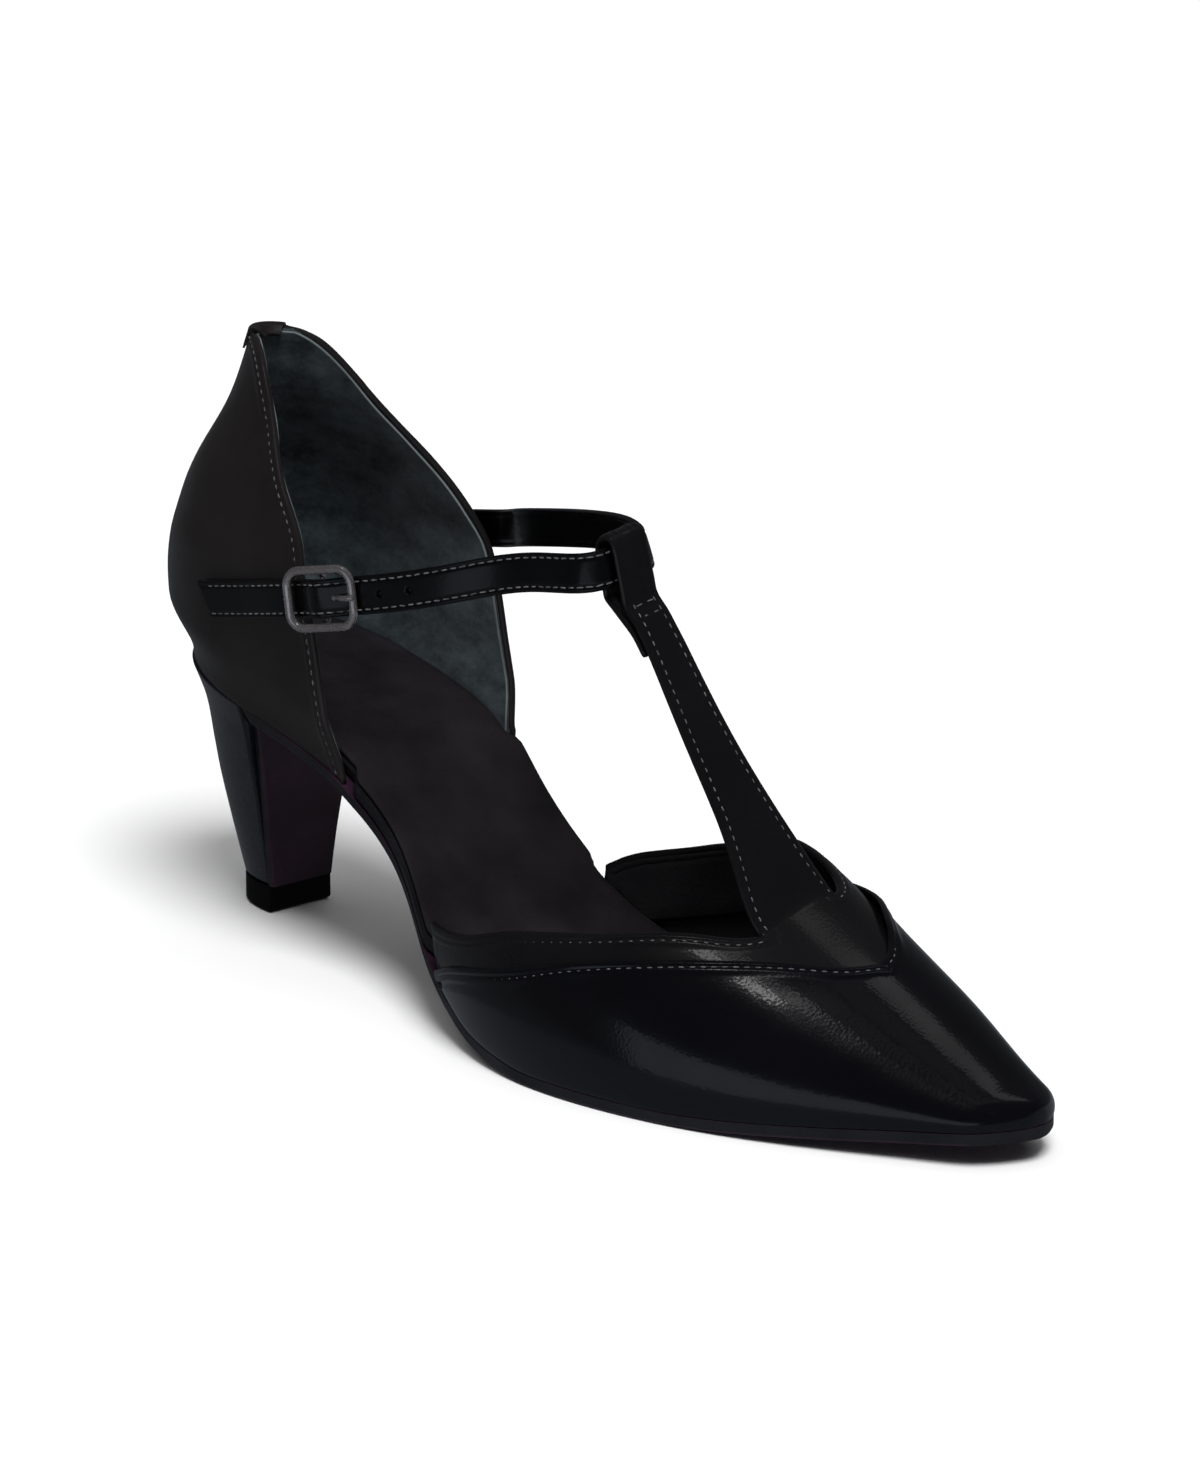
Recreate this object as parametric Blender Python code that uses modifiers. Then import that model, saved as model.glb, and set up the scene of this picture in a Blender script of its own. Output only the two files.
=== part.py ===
"""A right-foot T-strap pump with a pointed toe, open waist and covered block heel.

Each piece is a solid of its own. +X runs from heel to toe, +Y to the medial side, +Z up,
and the origin is the centre of the top piece's face on the floor. Tables hold shares of
the named sizes: along is a share of SHOE_LENGTH from the back of the counter.
"""

import math

import bmesh
import bpy
import numpy as np

MM = 0.001

# Driving dimensions
SHOE_LENGTH = 245 * MM
BALL_WIDTH = 69.8 * MM
SEAT_RISE = 54 * MM
BACK_HEIGHT = 122.9 * MM
POINT_HEIGHT = 28.6 * MM
SOLE_THICK = 2.4 * MM
BOARD_THICK = 2.9 * MM
SOCK_THICK = 0.9 * MM
VAMP_WALL = 2.0 * MM
QUARTER_WALL = 2.2 * MM
BAND_WALL = 1.5 * MM
BAND_STEP = 1.0 * MM
GAP = 0.3 * MM
NOSE_DEPTH = 7 * MM
HEEL_REST_ALONG = 0.1
TOP_PIECE_WIDTH = 16.4 * MM
TOP_PIECE_LENGTH = 14.8 * MM
TOP_PIECE_HEIGHT = 6 * MM
FLAP_THICK = 1.6 * MM
STRAP_WIDTH = 7.8 * MM
STRAP_THICK = 1.8 * MM
TAB_WIDTH = 9 * MM
TAB_DROP = 9 * MM
TAB_THICK = 1.0 * MM
BUCKLE_LENGTH = 17 * MM
BUCKLE_HEIGHT = 13.2 * MM
BUCKLE_WIRE = 1.5 * MM
TURNED_END = 10.5 * MM
LOOP_ROOM = 0.8 * MM

ORIGIN_X = HEEL_REST_ALONG * SHOE_LENGTH

# Outline of the feather line, where the upper meets the sole
PLAN = [  # along, half width / BALL_WIDTH, shift to medial / BALL_WIDTH
    (0.167, 0.338, 0.014), (0.232, 0.338, 0.014), (0.301, 0.328, 0.009), (0.362, 0.304, -0.007),
    (0.403, 0.325, -0.027), (0.444, 0.367, -0.046), (0.485, 0.409, -0.050),
    (0.526, 0.449, -0.049), (0.607, 0.500, -0.033), (0.689, 0.496, -0.006),
    (0.771, 0.440, 0.020), (0.852, 0.337, 0.044), (0.934, 0.209, 0.073),
    (0.975, 0.142, 0.096), (1.000, 0.089, 0.119),
]
TOE_END = 0.994
SEAT_BACK = 0.029
SEAT_ROUND = 0.138

# Height of the feather line over the flat tread
LIFT = [  # along, height / SEAT_RISE
    (0.028, 1.000), (0.097, 0.944), (0.167, 0.885), (0.232, 0.822), (0.281, 0.756),
    (0.322, 0.652), (0.362, 0.520), (0.403, 0.370), (0.444, 0.224), (0.485, 0.114),
    (0.526, 0.046), (0.567, 0.015), (0.607, 0.000), (0.730, 0.000), (0.771, 0.006),
    (0.852, 0.035), (0.934, 0.070), (1.000, 0.093),
]

# Ridge of the last over the forefoot
RIDGE = [  # along, ridge to medial / BALL_WIDTH, height / POINT_HEIGHT
    (0.403, 0.067, 2.517), (0.477, 0.110, 2.308), (0.546, 0.129, 2.045),
    (0.607, 0.146, 1.818), (0.669, 0.153, 1.594), (0.734, 0.153, 1.371),
    (0.779, 0.149, 1.203), (0.807, 0.143, 1.098), (0.832, 0.139, 1.000),
    (0.877, 0.136, 0.825), (0.938, 0.132, 0.587), (0.975, 0.127, 0.462),
    (1.000, 0.125, 0.406),
]
FULLNESS = [  # along, lateral exponent, medial exponent, tuck under the side / BALL_WIDTH
    (0.444, 2.30, 2.30, 0.057), (0.526, 2.12, 2.12, 0.046), (0.607, 2.05, 2.10, 0.032),
    (0.689, 1.97, 2.22, 0.026), (0.771, 1.90, 2.02, 0.021), (0.832, 1.91, 2.10, 0.018),
    (0.893, 1.93, 2.25, 0.016), (0.940, 2.00, 2.15, 0.014), (1.000, 2.10, 1.95, 0.011),
]

# Seams on the forefoot: wrap runs from -1 at the lateral feather over 0 at the ridge to 1
SEAM_LATERAL = [  # along, wrap
    (0.456, -1.000), (0.485, -0.930), (0.526, -0.850), (0.571, -0.779), (0.628, -0.677),
    (0.682, -0.572), (0.742, -0.437), (0.789, -0.298), (0.815, -0.184), (0.824, -0.079),
]
SEAM_MEDIAL = [
    (0.824, -0.079), (0.815, 0.010), (0.799, 0.103), (0.771, 0.230), (0.739, 0.362),
    (0.681, 0.520), (0.628, 0.635), (0.571, 0.745), (0.505, 0.860), (0.432, 1.000),
]
TOPLINE_LATERAL = [
    (0.456, -0.915), (0.485, -0.865), (0.526, -0.785), (0.562, -0.710), (0.649, -0.555),
    (0.716, -0.403), (0.748, -0.312), (0.752, -0.286),
]
TOPLINE_MEDIAL = [
    (0.747, 0.044), (0.743, 0.095), (0.728, 0.180), (0.704, 0.255), (0.672, 0.330),
    (0.630, 0.445), (0.588, 0.570), (0.545, 0.669), (0.497, 0.781), (0.459, 0.875),
    (0.435, 0.935),
]

# T-strap over the instep, on its front face
T_STRAP = [  # along, height / BACK_HEIGHT, half width / BALL_WIDTH, roll in degrees
    (0.713, 0.366, 0.113, 6), (0.693, 0.415, 0.097, 4), (0.659, 0.492, 0.080, 3),
    (0.613, 0.606, 0.064, 4), (0.577, 0.694, 0.055, 8), (0.563, 0.722, 0.053, 10),
]
T_SHIFT = 0.030
LOOP_LEAN = 17

# Heel quarter
BACK_LINE = [  # height / BACK_HEIGHT, along at the back
    (0.448, 0.0286), (0.472, 0.0196), (0.504, 0.0073), (0.550, 0.0008), (0.602, 0.0000),
    (0.675, 0.0065), (0.740, 0.0155), (0.810, 0.0343), (0.903, 0.0604), (1.000, 0.0788),
]
QUARTER_WIDTH = [  # height / BACK_HEIGHT, half width / BALL_WIDTH
    (0.325, 0.361), (0.488, 0.361), (0.602, 0.361), (0.651, 0.358), (0.716, 0.327),
    (0.789, 0.287), (0.887, 0.205), (0.976, 0.165), (1.000, 0.150),
]
FRONT_EDGE = [  # height / BACK_HEIGHT, along
    (0.325, 0.302), (0.399, 0.292), (0.504, 0.281), (0.578, 0.273), (0.651, 0.262),
    (0.720, 0.245), (0.793, 0.211), (0.887, 0.167), (0.944, 0.140), (0.976, 0.122),
    (0.996, 0.100), (1.000, 0.0788),
]
EDGE_CORNER = 0.504
QUARTER_ROUND = 0.139
QUARTER_SHIFT = 0.016

# Heel between the seat and the top piece
HEEL_FORM = [  # height / seat height, back along, lateral spread, medial spread
    (0.000, 0.0680, 0.000, 0.000), (0.265, 0.0615, 0.250, -0.020), (0.460, 0.0560, 0.425, 0.000),
    (0.620, 0.0535, 0.577, 0.120), (0.780, 0.0510, 0.735, 0.360), (0.860, 0.0465, 0.816, 0.530),
    (0.930, 0.0385, 0.904, 0.745), (1.000, 0.0290, 1.000, 1.000),
]
BREAST_TOP = 0.166

# Ankle strap: its centre line, from the lateral side to the T's loop
ANKLE_FRONT = [  # along, to medial / BALL_WIDTH, height / BACK_HEIGHT, lean in degrees
    (0.260, -0.362, 0.635, 3), (0.327, -0.289, 0.661, 6), (0.403, -0.198, 0.701, 10),
    (0.478, -0.105, 0.741, 13),
]
ANKLE_BACK = [  # the same, from the loop round to the medial side
    (0.522, 0.150, 0.785, 15), (0.470, 0.190, 0.778, 12), (0.397, 0.236, 0.750, 8),
    (0.324, 0.300, 0.716, 6), (0.262, 0.398, 0.681, 3),
]
LATERAL_LAP = [(0.142, 0.586), (0.199, 0.609)]
MEDIAL_LAP = [(0.215, 0.664), (0.175, 0.646)]
END_SLANT = 3.6 * MM


def natural_curve(knots, values):
    """A smooth function through the points, flat outside them."""
    knots = np.asarray(knots, float)
    values = np.asarray(values, float)
    count = len(knots)
    step = np.diff(knots)
    slope = np.diff(values) / step
    rows = np.eye(count)
    right = np.zeros(count)
    for i in range(1, count - 1):
        rows[i, i - 1 : i + 2] = step[i - 1], 2 * (step[i - 1] + step[i]), step[i]
        right[i] = 6 * (slope[i] - slope[i - 1])
    bend = np.linalg.solve(rows, right)

    def at(x):
        x = np.clip(np.asarray(x, float), knots[0], knots[-1])
        i = np.clip(np.searchsorted(knots, x) - 1, 0, count - 2)
        t = x - knots[i]
        linear = slope[i] - step[i] * (2 * bend[i] + bend[i + 1]) / 6
        return values[i] + t * (linear + t * (bend[i] / 2 + t * (bend[i + 1] - bend[i]) / (6 * step[i])))

    return at


def steady_curve(knots, values):
    """A function through the points that keeps flat stretches flat."""
    knots = np.asarray(knots, float)
    values = np.asarray(values, float)
    step = np.diff(knots)
    slope = np.diff(values) / step
    tangent = np.zeros(len(knots))
    same = slope[:-1] * slope[1:] > 0
    tangent[1:-1][same] = 2 * slope[:-1][same] * slope[1:][same] / (slope[:-1] + slope[1:])[same]
    tangent[0] = slope[0]
    tangent[-1] = slope[-1]

    def at(x):
        x = np.clip(np.asarray(x, float), knots[0], knots[-1])
        i = np.clip(np.searchsorted(knots, x) - 1, 0, len(knots) - 2)
        t = (x - knots[i]) / step[i]
        rise = (3 * t**2 - 2 * t**3) * (values[i + 1] - values[i])
        turn = t * (1 - t) ** 2 * tangent[i] - t**2 * (1 - t) * tangent[i + 1]
        return values[i] + rise + turn * step[i]

    return at


def column(table, index):
    return [row[index] for row in table]


def world_x(along):
    return np.asarray(along) * SHOE_LENGTH - ORIGIN_X


def share_of(x):
    return (np.asarray(x) + ORIGIN_X) / SHOE_LENGTH


plan_half = natural_curve(column(PLAN, 0), column(PLAN, 1))
plan_shift = natural_curve(column(PLAN, 0), column(PLAN, 2))
lift_share = steady_curve(column(LIFT, 0), column(LIFT, 1))
ridge_shift = natural_curve(column(RIDGE, 0), column(RIDGE, 1))
ridge_height = natural_curve(column(RIDGE, 0), column(RIDGE, 2))
lateral_power = natural_curve(column(FULLNESS, 0), column(FULLNESS, 1))
medial_power = natural_curve(column(FULLNESS, 0), column(FULLNESS, 2))
tuck_share = natural_curve(column(FULLNESS, 0), column(FULLNESS, 3))
back_line = natural_curve(column(BACK_LINE, 0), column(BACK_LINE, 1))
quarter_width = steady_curve(column(QUARTER_WIDTH, 0), column(QUARTER_WIDTH, 1))


def nose(along):
    """1 along the shoe, falling as a quarter ellipse to 0 at the tip."""
    depth = NOSE_DEPTH / SHOE_LENGTH
    return np.sqrt(np.maximum(1 - np.clip((along - TOE_END + depth) / depth, 0, 1) ** 2, 0))


def half_width(along, inside=0.0):
    """Half width of the outline, or of the line that lies inside it by that much."""
    reach = inside / SHOE_LENGTH
    seat = np.clip((SEAT_BACK + SEAT_ROUND - along) / (SEAT_ROUND - reach), 0, 1)
    depth = NOSE_DEPTH / SHOE_LENGTH
    tip = np.clip((along - TOE_END + depth) / (depth - min(reach, 0.6 * depth)), 0, 1)
    return (plan_half(along) * BALL_WIDTH - inside) * np.sqrt((1 - seat**2) * (1 - tip**2))


def middle(along):
    return plan_shift(along) * BALL_WIDTH


def feather(along):
    """Height of the feather line, which is the top of the outsole and of the heel."""
    return SOLE_THICK + lift_share(along) * SEAT_RISE


def forefoot(along, wrap, depth=0.0):
    """A point of the last over the forefoot, depth inside its surface."""
    if np.any(depth):
        nudge = 1e-4
        along_way = forefoot(along + nudge, wrap) - forefoot(along - nudge, wrap)
        wrap_way = forefoot(along, wrap + nudge) - forefoot(along, wrap - nudge)
        outward = np.cross(along_way, wrap_way)
        size = np.linalg.norm(outward, axis=-1, keepdims=True)
        return forefoot(along, wrap) - depth * outward / size
    along = np.clip(np.asarray(along, float), 0, 1)
    wrap = np.asarray(wrap, float)
    angle = (1 - np.abs(wrap)) * math.pi / 2
    foot = feather(along) + GAP
    rise = (ridge_height(along) * POINT_HEIGHT - foot) * (1 - 0.35 * (1 - nose(along)) ** 1.6)
    centre = middle(along)
    ridge = centre + (ridge_shift(along) * BALL_WIDTH - centre) * nose(along)
    side = np.where(wrap < 0, -1.0, 1.0)
    reach = side * (centre - ridge) + half_width(along)
    tuck = tuck_share(along) * BALL_WIDTH * nose(along)
    power = np.where(wrap < 0, lateral_power(along), medial_power(along))
    out = np.maximum(np.cos(angle), 0) ** (2 / power)
    up = np.maximum(np.sin(angle), 0) ** (2 / power)
    y = ridge + side * ((reach + tuck) * out - tuck * (1 - up) ** 3)
    return np.stack([world_x(along) + 0 * y, y, foot + rise * up], axis=-1)


def dense(table, count, bounds=(0, 1), scale=(SHOE_LENGTH, BALL_WIDTH * 0.75)):
    """The table's curve, as count points evenly spaced along it."""
    rows = np.asarray(table, float)
    scaled = rows * scale
    run = np.concatenate([[0], np.cumsum(np.linalg.norm(np.diff(scaled, axis=0), axis=1))])
    run /= run[-1]
    curves = [natural_curve(run, rows[:, i]) for i in range(rows.shape[1])]
    where = np.linspace(bounds[0], bounds[1], count)
    return np.stack([curve(where) for curve in curves], axis=-1)


def new_object(name, mesh, material, collection):
    obj = bpy.data.objects.new(name, mesh)
    obj.data.materials.append(material)
    collection.objects.link(obj)
    return obj


def grid_mesh(name, rows, ring=False, ends=False, more_faces=()):
    """Quads between rows of points. ring closes each row, ends caps the first and last."""
    rows = np.asarray(rows, float)
    count, size = rows.shape[:2]
    shape = bmesh.new()
    points = [[shape.verts.new(point) for point in row] for row in rows]
    for i in range(count - 1):
        for j in range(size if ring else size - 1):
            k = (j + 1) % size
            shape.faces.new((points[i][j], points[i][k], points[i + 1][k], points[i + 1][j]))
    if ends:
        shape.faces.new(points[0][::-1])
        shape.faces.new(points[-1])
    for face in more_faces:
        shape.faces.new([points[i][j] for i, j in face])
    return finish_mesh(name, shape)


def finish_mesh(name, shape):
    bmesh.ops.remove_doubles(shape, verts=shape.verts, dist=2e-6)
    bmesh.ops.dissolve_degenerate(shape, dist=2e-6, edges=shape.edges)
    bmesh.ops.recalc_face_normals(shape, faces=shape.faces)
    mesh = bpy.data.meshes.new(name)
    shape.to_mesh(mesh)
    shape.free()
    mesh.shade_smooth()
    mesh.set_sharp_from_angle(angle=math.radians(40))
    return mesh


def shell(obj, thickness, outward_hint):
    """Thickens an open outer surface inwards, once its faces point outwards."""
    mesh = obj.data
    face = max(mesh.polygons, key=lambda p: p.center.dot(outward_hint))
    if face.normal.dot(outward_hint) < 0:
        mesh.flip_normals()
    solidify = obj.modifiers.new("wall", "SOLIDIFY")
    solidify.thickness = thickness
    solidify.offset = -1
    solidify.use_quality_normals = True
    return obj


def material(name, colour, roughness, metallic=0.0, coat=0.0):
    made = bpy.data.materials.new(name)
    made.use_nodes = True
    shader = made.node_tree.nodes["Principled BSDF"]
    shader.inputs["Base Color"].default_value = (*colour, 1)
    shader.inputs["Roughness"].default_value = roughness
    shader.inputs["Metallic"].default_value = metallic
    shader.inputs["Coat Weight"].default_value = coat
    return made


def slab_row(along, top, bottom, half, centre, edge):
    """One cross-section of a flat layer, with its lower edges eased."""
    x = world_x(along)
    low = bottom + edge
    return [
        (x, centre - half, top), (x, centre, top), (x, centre + half, top),
        (x, centre + half, low), (x, centre + half - edge, bottom), (x, centre, bottom),
        (x, centre - half + edge, bottom), (x, centre - half, low),
    ]


def station_list(first, last, count, tip=True):
    """Stations that close up towards the round ends."""
    t = np.linspace(0, 1, count)
    if tip:
        t = np.where(t > 0.5, 1 - (1 - t) ** 1.7 * 0.5**-0.7, t)
    return first + (last - first) * t


def smooth_step(value):
    t = np.clip(value, 0, 1)
    return t * t * (3 - 2 * t)


def wall_room():
    return max(VAMP_WALL, QUARTER_WALL, BAND_STEP + BAND_WALL)


def inset(along, side, waist_inset):
    """How far the board lies inside the feather line: behind a wall, or flush at the waist."""
    walled = wall_room() + 1.3 * GAP
    front = SEAM_LATERAL[0][0] if side < 0 else SEAM_MEDIAL[-1][0]
    back = FRONT_EDGE[0][1]
    ramp = 0.014
    opens = smooth_step((along - back - 0.003) / ramp)
    shuts = smooth_step((along - front + 0.005 + ramp) / ramp)
    return walled + (waist_inset - walled) * opens * (1 - shuts)


def layer_rows(stations, bottom_rise, thick, waist_inset, extra, edge):
    """Cross-sections of a layer inside the upper, over the feather line."""
    rows = []
    for along in stations:
        centre = middle(along)
        toe = (bottom_rise + thick) * 0.75 * smooth_step((along - 0.80) / 0.16)
        low = centre - half_width(along, inset(along, -1, waist_inset) + extra + toe)
        high = centre + half_width(along, inset(along, 1, waist_inset) + extra + toe)
        bottom = feather(along) + bottom_rise
        eased = min(edge, (high - low) / 4)
        x = world_x(along)
        rows.append([
            (x, low, bottom + eased), (x, low + eased, bottom), (x, (low + high) / 2, bottom),
            (x, high - eased, bottom), (x, high, bottom + eased),
            (x, high, bottom + thick - eased), (x, high - eased, bottom + thick),
            (x, (low + high) / 2, bottom + thick),
            (x, low + eased, bottom + thick), (x, low, bottom + thick - eased),
        ])
    return rows


def layer_stations(reach, last):
    """Stations from the round back of the seat to the toe, close together at the back."""
    first = SEAT_BACK + reach + 0.0002
    span = SEAT_ROUND / 2
    fine = first + span * np.linspace(0, 1, 9)[:-1] ** 2
    return np.concatenate([fine, np.linspace(first + span, last, 40)])


def make_insole(collection, leather, sock_leather):
    reach = (wall_room() + 1.3 * GAP) / SHOE_LENGTH
    board_tip = TOE_END - 9 * MM / SHOE_LENGTH
    sock_tip = TOE_END - 20 * MM / SHOE_LENGTH
    rows = layer_rows(layer_stations(reach, board_tip), GAP, BOARD_THICK, 0.0, 0.0, 0.7 * MM)
    mesh = grid_mesh("insole", rows, ring=True, ends=True)
    new_object("insole", mesh, leather, collection)
    rise = 2 * GAP + BOARD_THICK
    stations = layer_stations(reach + GAP / SHOE_LENGTH, sock_tip)
    rows = layer_rows(stations, rise, SOCK_THICK, 0.5 * MM, GAP, 0.25 * MM)
    mesh = grid_mesh("insole_sock", rows, ring=True, ends=True)
    new_object("insole_sock", mesh, sock_leather, collection)


def breast_x(height):
    """The heel's flat front: it leans forward from the top piece up to the seat."""
    top = feather(BREAST_TOP)
    low = TOP_PIECE_LENGTH / 2
    share = (height - TOP_PIECE_HEIGHT) / (top - TOP_PIECE_HEIGHT)
    return low + (world_x(BREAST_TOP) - low) * share


def make_outsole(collection, leather):
    """A thin sole from the toe to the breast, which turns down the front of the heel."""
    rows = []
    top = feather(BREAST_TOP)
    edge = 0.5 * MM
    fillet = 4 * MM
    heights = np.linspace(TOP_PIECE_HEIGHT + GAP, top - fillet - SOLE_THICK, 9)
    for height in heights:
        share = height / feather(SEAT_BACK)
        left, right = heel_sides(share)
        half = (right - left) / 2 - 1.0 * MM
        centre = (left + right) / 2
        back = breast_x(height) + GAP
        front = back + FLAP_THICK
        rows.append([
            (back, centre - half, height), (back, centre, height), (back, centre + half, height),
            (front - edge, centre + half, height), (front, centre + half - edge, height),
            (front, centre, height), (front, centre - half + edge, height),
            (front - edge, centre - half, height),
        ])
    corner = BREAST_TOP + 2 * GAP / SHOE_LENGTH
    half = half_width(corner)
    centre = middle(corner)
    x = world_x(corner)
    bend = fillet * 0.55
    rows.append([
        (x, centre - half, top), (x, centre, top), (x, centre + half, top),
        (x + bend - edge, centre + half, top - bend - SOLE_THICK * 0.6),
        (x + bend, centre + half - edge, top - bend - SOLE_THICK * 0.7),
        (x + bend, centre, top - bend - SOLE_THICK * 0.7),
        (x + bend, centre - half + edge, top - bend - SOLE_THICK * 0.7),
        (x + bend - edge, centre - half, top - bend - SOLE_THICK * 0.6),
    ])
    first = corner + (fillet + 1.5 * MM) / SHOE_LENGTH
    for along in station_list(first, TOE_END, 52):
        half = max(half_width(along), 0.9 * MM)
        thin = min(edge, half / 2)
        level = feather(along)
        rows.append(slab_row(along, level, level - SOLE_THICK, half, middle(along), thin))
    mesh = grid_mesh("outsole", rows, ring=True, ends=True)
    return new_object("outsole", mesh, leather, collection)


heel_back = steady_curve(column(HEEL_FORM, 0), column(HEEL_FORM, 1))
lateral_spread = steady_curve(column(HEEL_FORM, 0), column(HEEL_FORM, 2))
medial_spread = steady_curve(column(HEEL_FORM, 0), column(HEEL_FORM, 3))


def heel_sides(share):
    """Where the lateral and medial sides of the heel lie at its breast."""
    low = TOP_PIECE_WIDTH / 2
    spread = half_width(BREAST_TOP) - low
    shift = middle(BREAST_TOP) * share
    return shift - low - spread * lateral_spread(share), shift + low + spread * medial_spread(share)


def heel_ring(share, height_at, count=26):
    """A D-shaped ring: a flat breast and a round back."""
    left, right = heel_sides(share)
    half = (right - left) / 2
    centre = (left + right) / 2
    points = []
    front_low = TOP_PIECE_LENGTH / 2
    front = front_low + (world_x(BREAST_TOP) - front_low) * share
    back = world_x(heel_back(share))
    for i in range(count + 1):
        angle = math.pi * i / count
        x = front - (front - back) * max(math.sin(angle), 0) ** 0.92
        y = centre - half * math.cos(angle)
        points.append((x, y, height_at(x)))
    points.append((front, centre + half / 2, height_at(front)))
    points.append((front, centre, height_at(front)))
    points.append((front, centre - half / 2, height_at(front)))
    return points


def make_heel(collection, leather, rubber):
    base = TOP_PIECE_HEIGHT + GAP
    rows = []
    for share in np.linspace(0, 1, 14):
        def height_at(x, share=share):
            return base + (feather(share_of(x)) - base) * share
        rows.append(heel_ring(share, height_at))
    mesh = grid_mesh("heel", rows, ring=True, ends=True)
    new_object("heel", mesh, leather, collection)
    flat = [heel_ring(0.0, lambda x: TOP_PIECE_HEIGHT)]
    eased = np.array(heel_ring(0.0, lambda x: 0.0))
    centre = eased.mean(axis=0)
    shrink = 1 - 0.4 * MM / TOP_PIECE_WIDTH * 2
    flat.append(np.array(heel_ring(0.0, lambda x: 0.4 * MM)))
    flat.append(centre + (eased - centre) * [shrink, shrink, 1])
    mesh = grid_mesh("top_piece", flat[::-1], ring=True, ends=True)
    new_object("top_piece", mesh, rubber, collection)


def quarter_half(x, z):
    """Half width of the quarter's outer surface."""
    share = z / BACK_HEIGHT
    depth = (share_of(x) - back_line(share)) / QUARTER_ROUND
    round_back = np.sqrt(np.maximum(1 - np.clip(1 - depth, 0, 1) ** 2, 0))
    full = quarter_width(share) * BALL_WIDTH * round_back
    along = share_of(x)
    base = half_width(along)
    height = smooth_step((z - feather(along)) / (12 * MM))
    low = np.where(base < full, base, full)
    return low + (full - low) * height


def feather_run(count):
    """The feather line from the middle of the back to the quarter's front corner."""
    t = np.linspace(0, 1, 200)
    along = SEAT_BACK + (FRONT_EDGE[0][1] - SEAT_BACK) * t**2
    points = np.stack([world_x(along), half_width(along), feather(along) + GAP], axis=-1)
    return even(points, count)


def topline_run(count):
    """The quarter's top edge from the middle of the back down to the front corner."""
    table = [(along, share) for share, along in FRONT_EDGE[::-1]]
    line = dense(table, 300, scale=(SHOE_LENGTH, BACK_HEIGHT))
    line = line[line[:, 1] > EDGE_CORNER]
    x = world_x(line[:, 0])
    z = line[:, 1] * BACK_HEIGHT
    points = np.stack([x, quarter_half(x, z), z], axis=-1)
    return even(points, count)


def even(points, count):
    run = np.concatenate([[0], np.cumsum(np.linalg.norm(np.diff(points, axis=0), axis=1))])
    where = np.linspace(0, run[-1], count)
    return np.stack([np.interp(where, run, points[:, i]) for i in range(3)], axis=-1)


def quarter_point(low, high, level, frontness):
    """A point of the outer surface between a feather point and a topline point."""
    z = low[2] + (high[2] - low[2]) * level
    start = low[0] - world_x(back_line(low[2] / BACK_HEIGHT))
    end = high[0] - world_x(back_line(high[2] / BACK_HEIGHT))
    curved = world_x(back_line(z / BACK_HEIGHT)) + start + (end - start) * level
    straight = low[0] + (high[0] - low[0]) * level
    x = curved + (straight - curved) * smooth_step(frontness * 1.3)
    if level == 0:
        return x, low[1], z
    return x, float(quarter_half(x, z)), z


def make_quarter(collection, leather):
    columns = 18
    levels = np.linspace(0, 1, 13)
    low_run = feather_run(columns)
    high_run = topline_run(columns)
    rows = []
    for level in levels:
        half = [quarter_point(low_run[i], high_run[i], level, i / (columns - 1))
                for i in range(columns)]
        shift = QUARTER_SHIFT * BALL_WIDTH
        lateral = [(x, shift - y, z) for x, y, z in half[:0:-1]]
        medial = [(x, shift + y, z) for x, y, z in half]
        rows.append(lateral + medial)
    mesh = grid_mesh("upper_quarter", rows)
    obj = new_object("upper_quarter", mesh, leather, collection)
    return shell(obj, QUARTER_WALL, (-1, 0, 0))


def back_point(y, z):
    """A point of the quarter's outer back at this distance from its middle, and its outward normal."""
    def at(y, z):
        start = world_x(back_line(z / BACK_HEIGHT))
        x = start + np.linspace(0, 40 * MM, 400)
        return np.array([np.interp(abs(y), quarter_half(x, z), x), y, z])
    nudge = 0.3 * MM
    up = at(y, z + nudge) - at(y, z - nudge)
    side = at(y + nudge, z) - at(y - nudge, z)
    normal = np.cross(up, side)
    normal /= np.linalg.norm(normal)
    return at(y, z), normal if normal[0] < 0 else -normal


def make_back_tab(collection, leather):
    """A short strip folded over the top of the back seam."""
    run = topline_run(60)
    shift = np.array([0, QUARTER_SHIFT * BALL_WIDTH, 0])
    near = 2 * GAP
    far = near + TAB_THICK
    rows = []
    for y in np.linspace(-TAB_WIDTH / 2, TAB_WIDTH / 2, 9):
        top_z = float(np.interp(abs(y), run[:, 1], run[:, 2])) - 0.2 * MM
        base = [back_point(y, top_z - TAB_DROP * share) for share in (1.0, 0.66, 0.33, 0.03)]
        top, normal = base[-1]
        rise = np.array([0, 0, 1.0])
        wall = QUARTER_WALL + near
        drop = TAB_DROP * 0.35
        fall = base[2][0] - top
        fall /= np.linalg.norm(fall)
        loop = [point + out * far for point, out in base]
        loop.append(top + normal * near + rise * far)
        loop.append(top - normal * wall + rise * far)
        loop.append(top - normal * (wall + TAB_THICK))
        loop.append(top - normal * (wall + TAB_THICK) + fall * drop)
        loop.append(top - normal * wall + fall * drop)
        loop.append(top - normal * wall + rise * (near + 0.2 * MM))
        loop.append(top + normal * near + rise * (near + 0.2 * MM))
        loop.extend(point + out * near for point, out in base[2::-1])
        rows.append([point + shift for point in loop])
    mesh = grid_mesh("back_tab", rows, ring=True, ends=True)
    new_object("back_tab", mesh, leather, collection)


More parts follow.
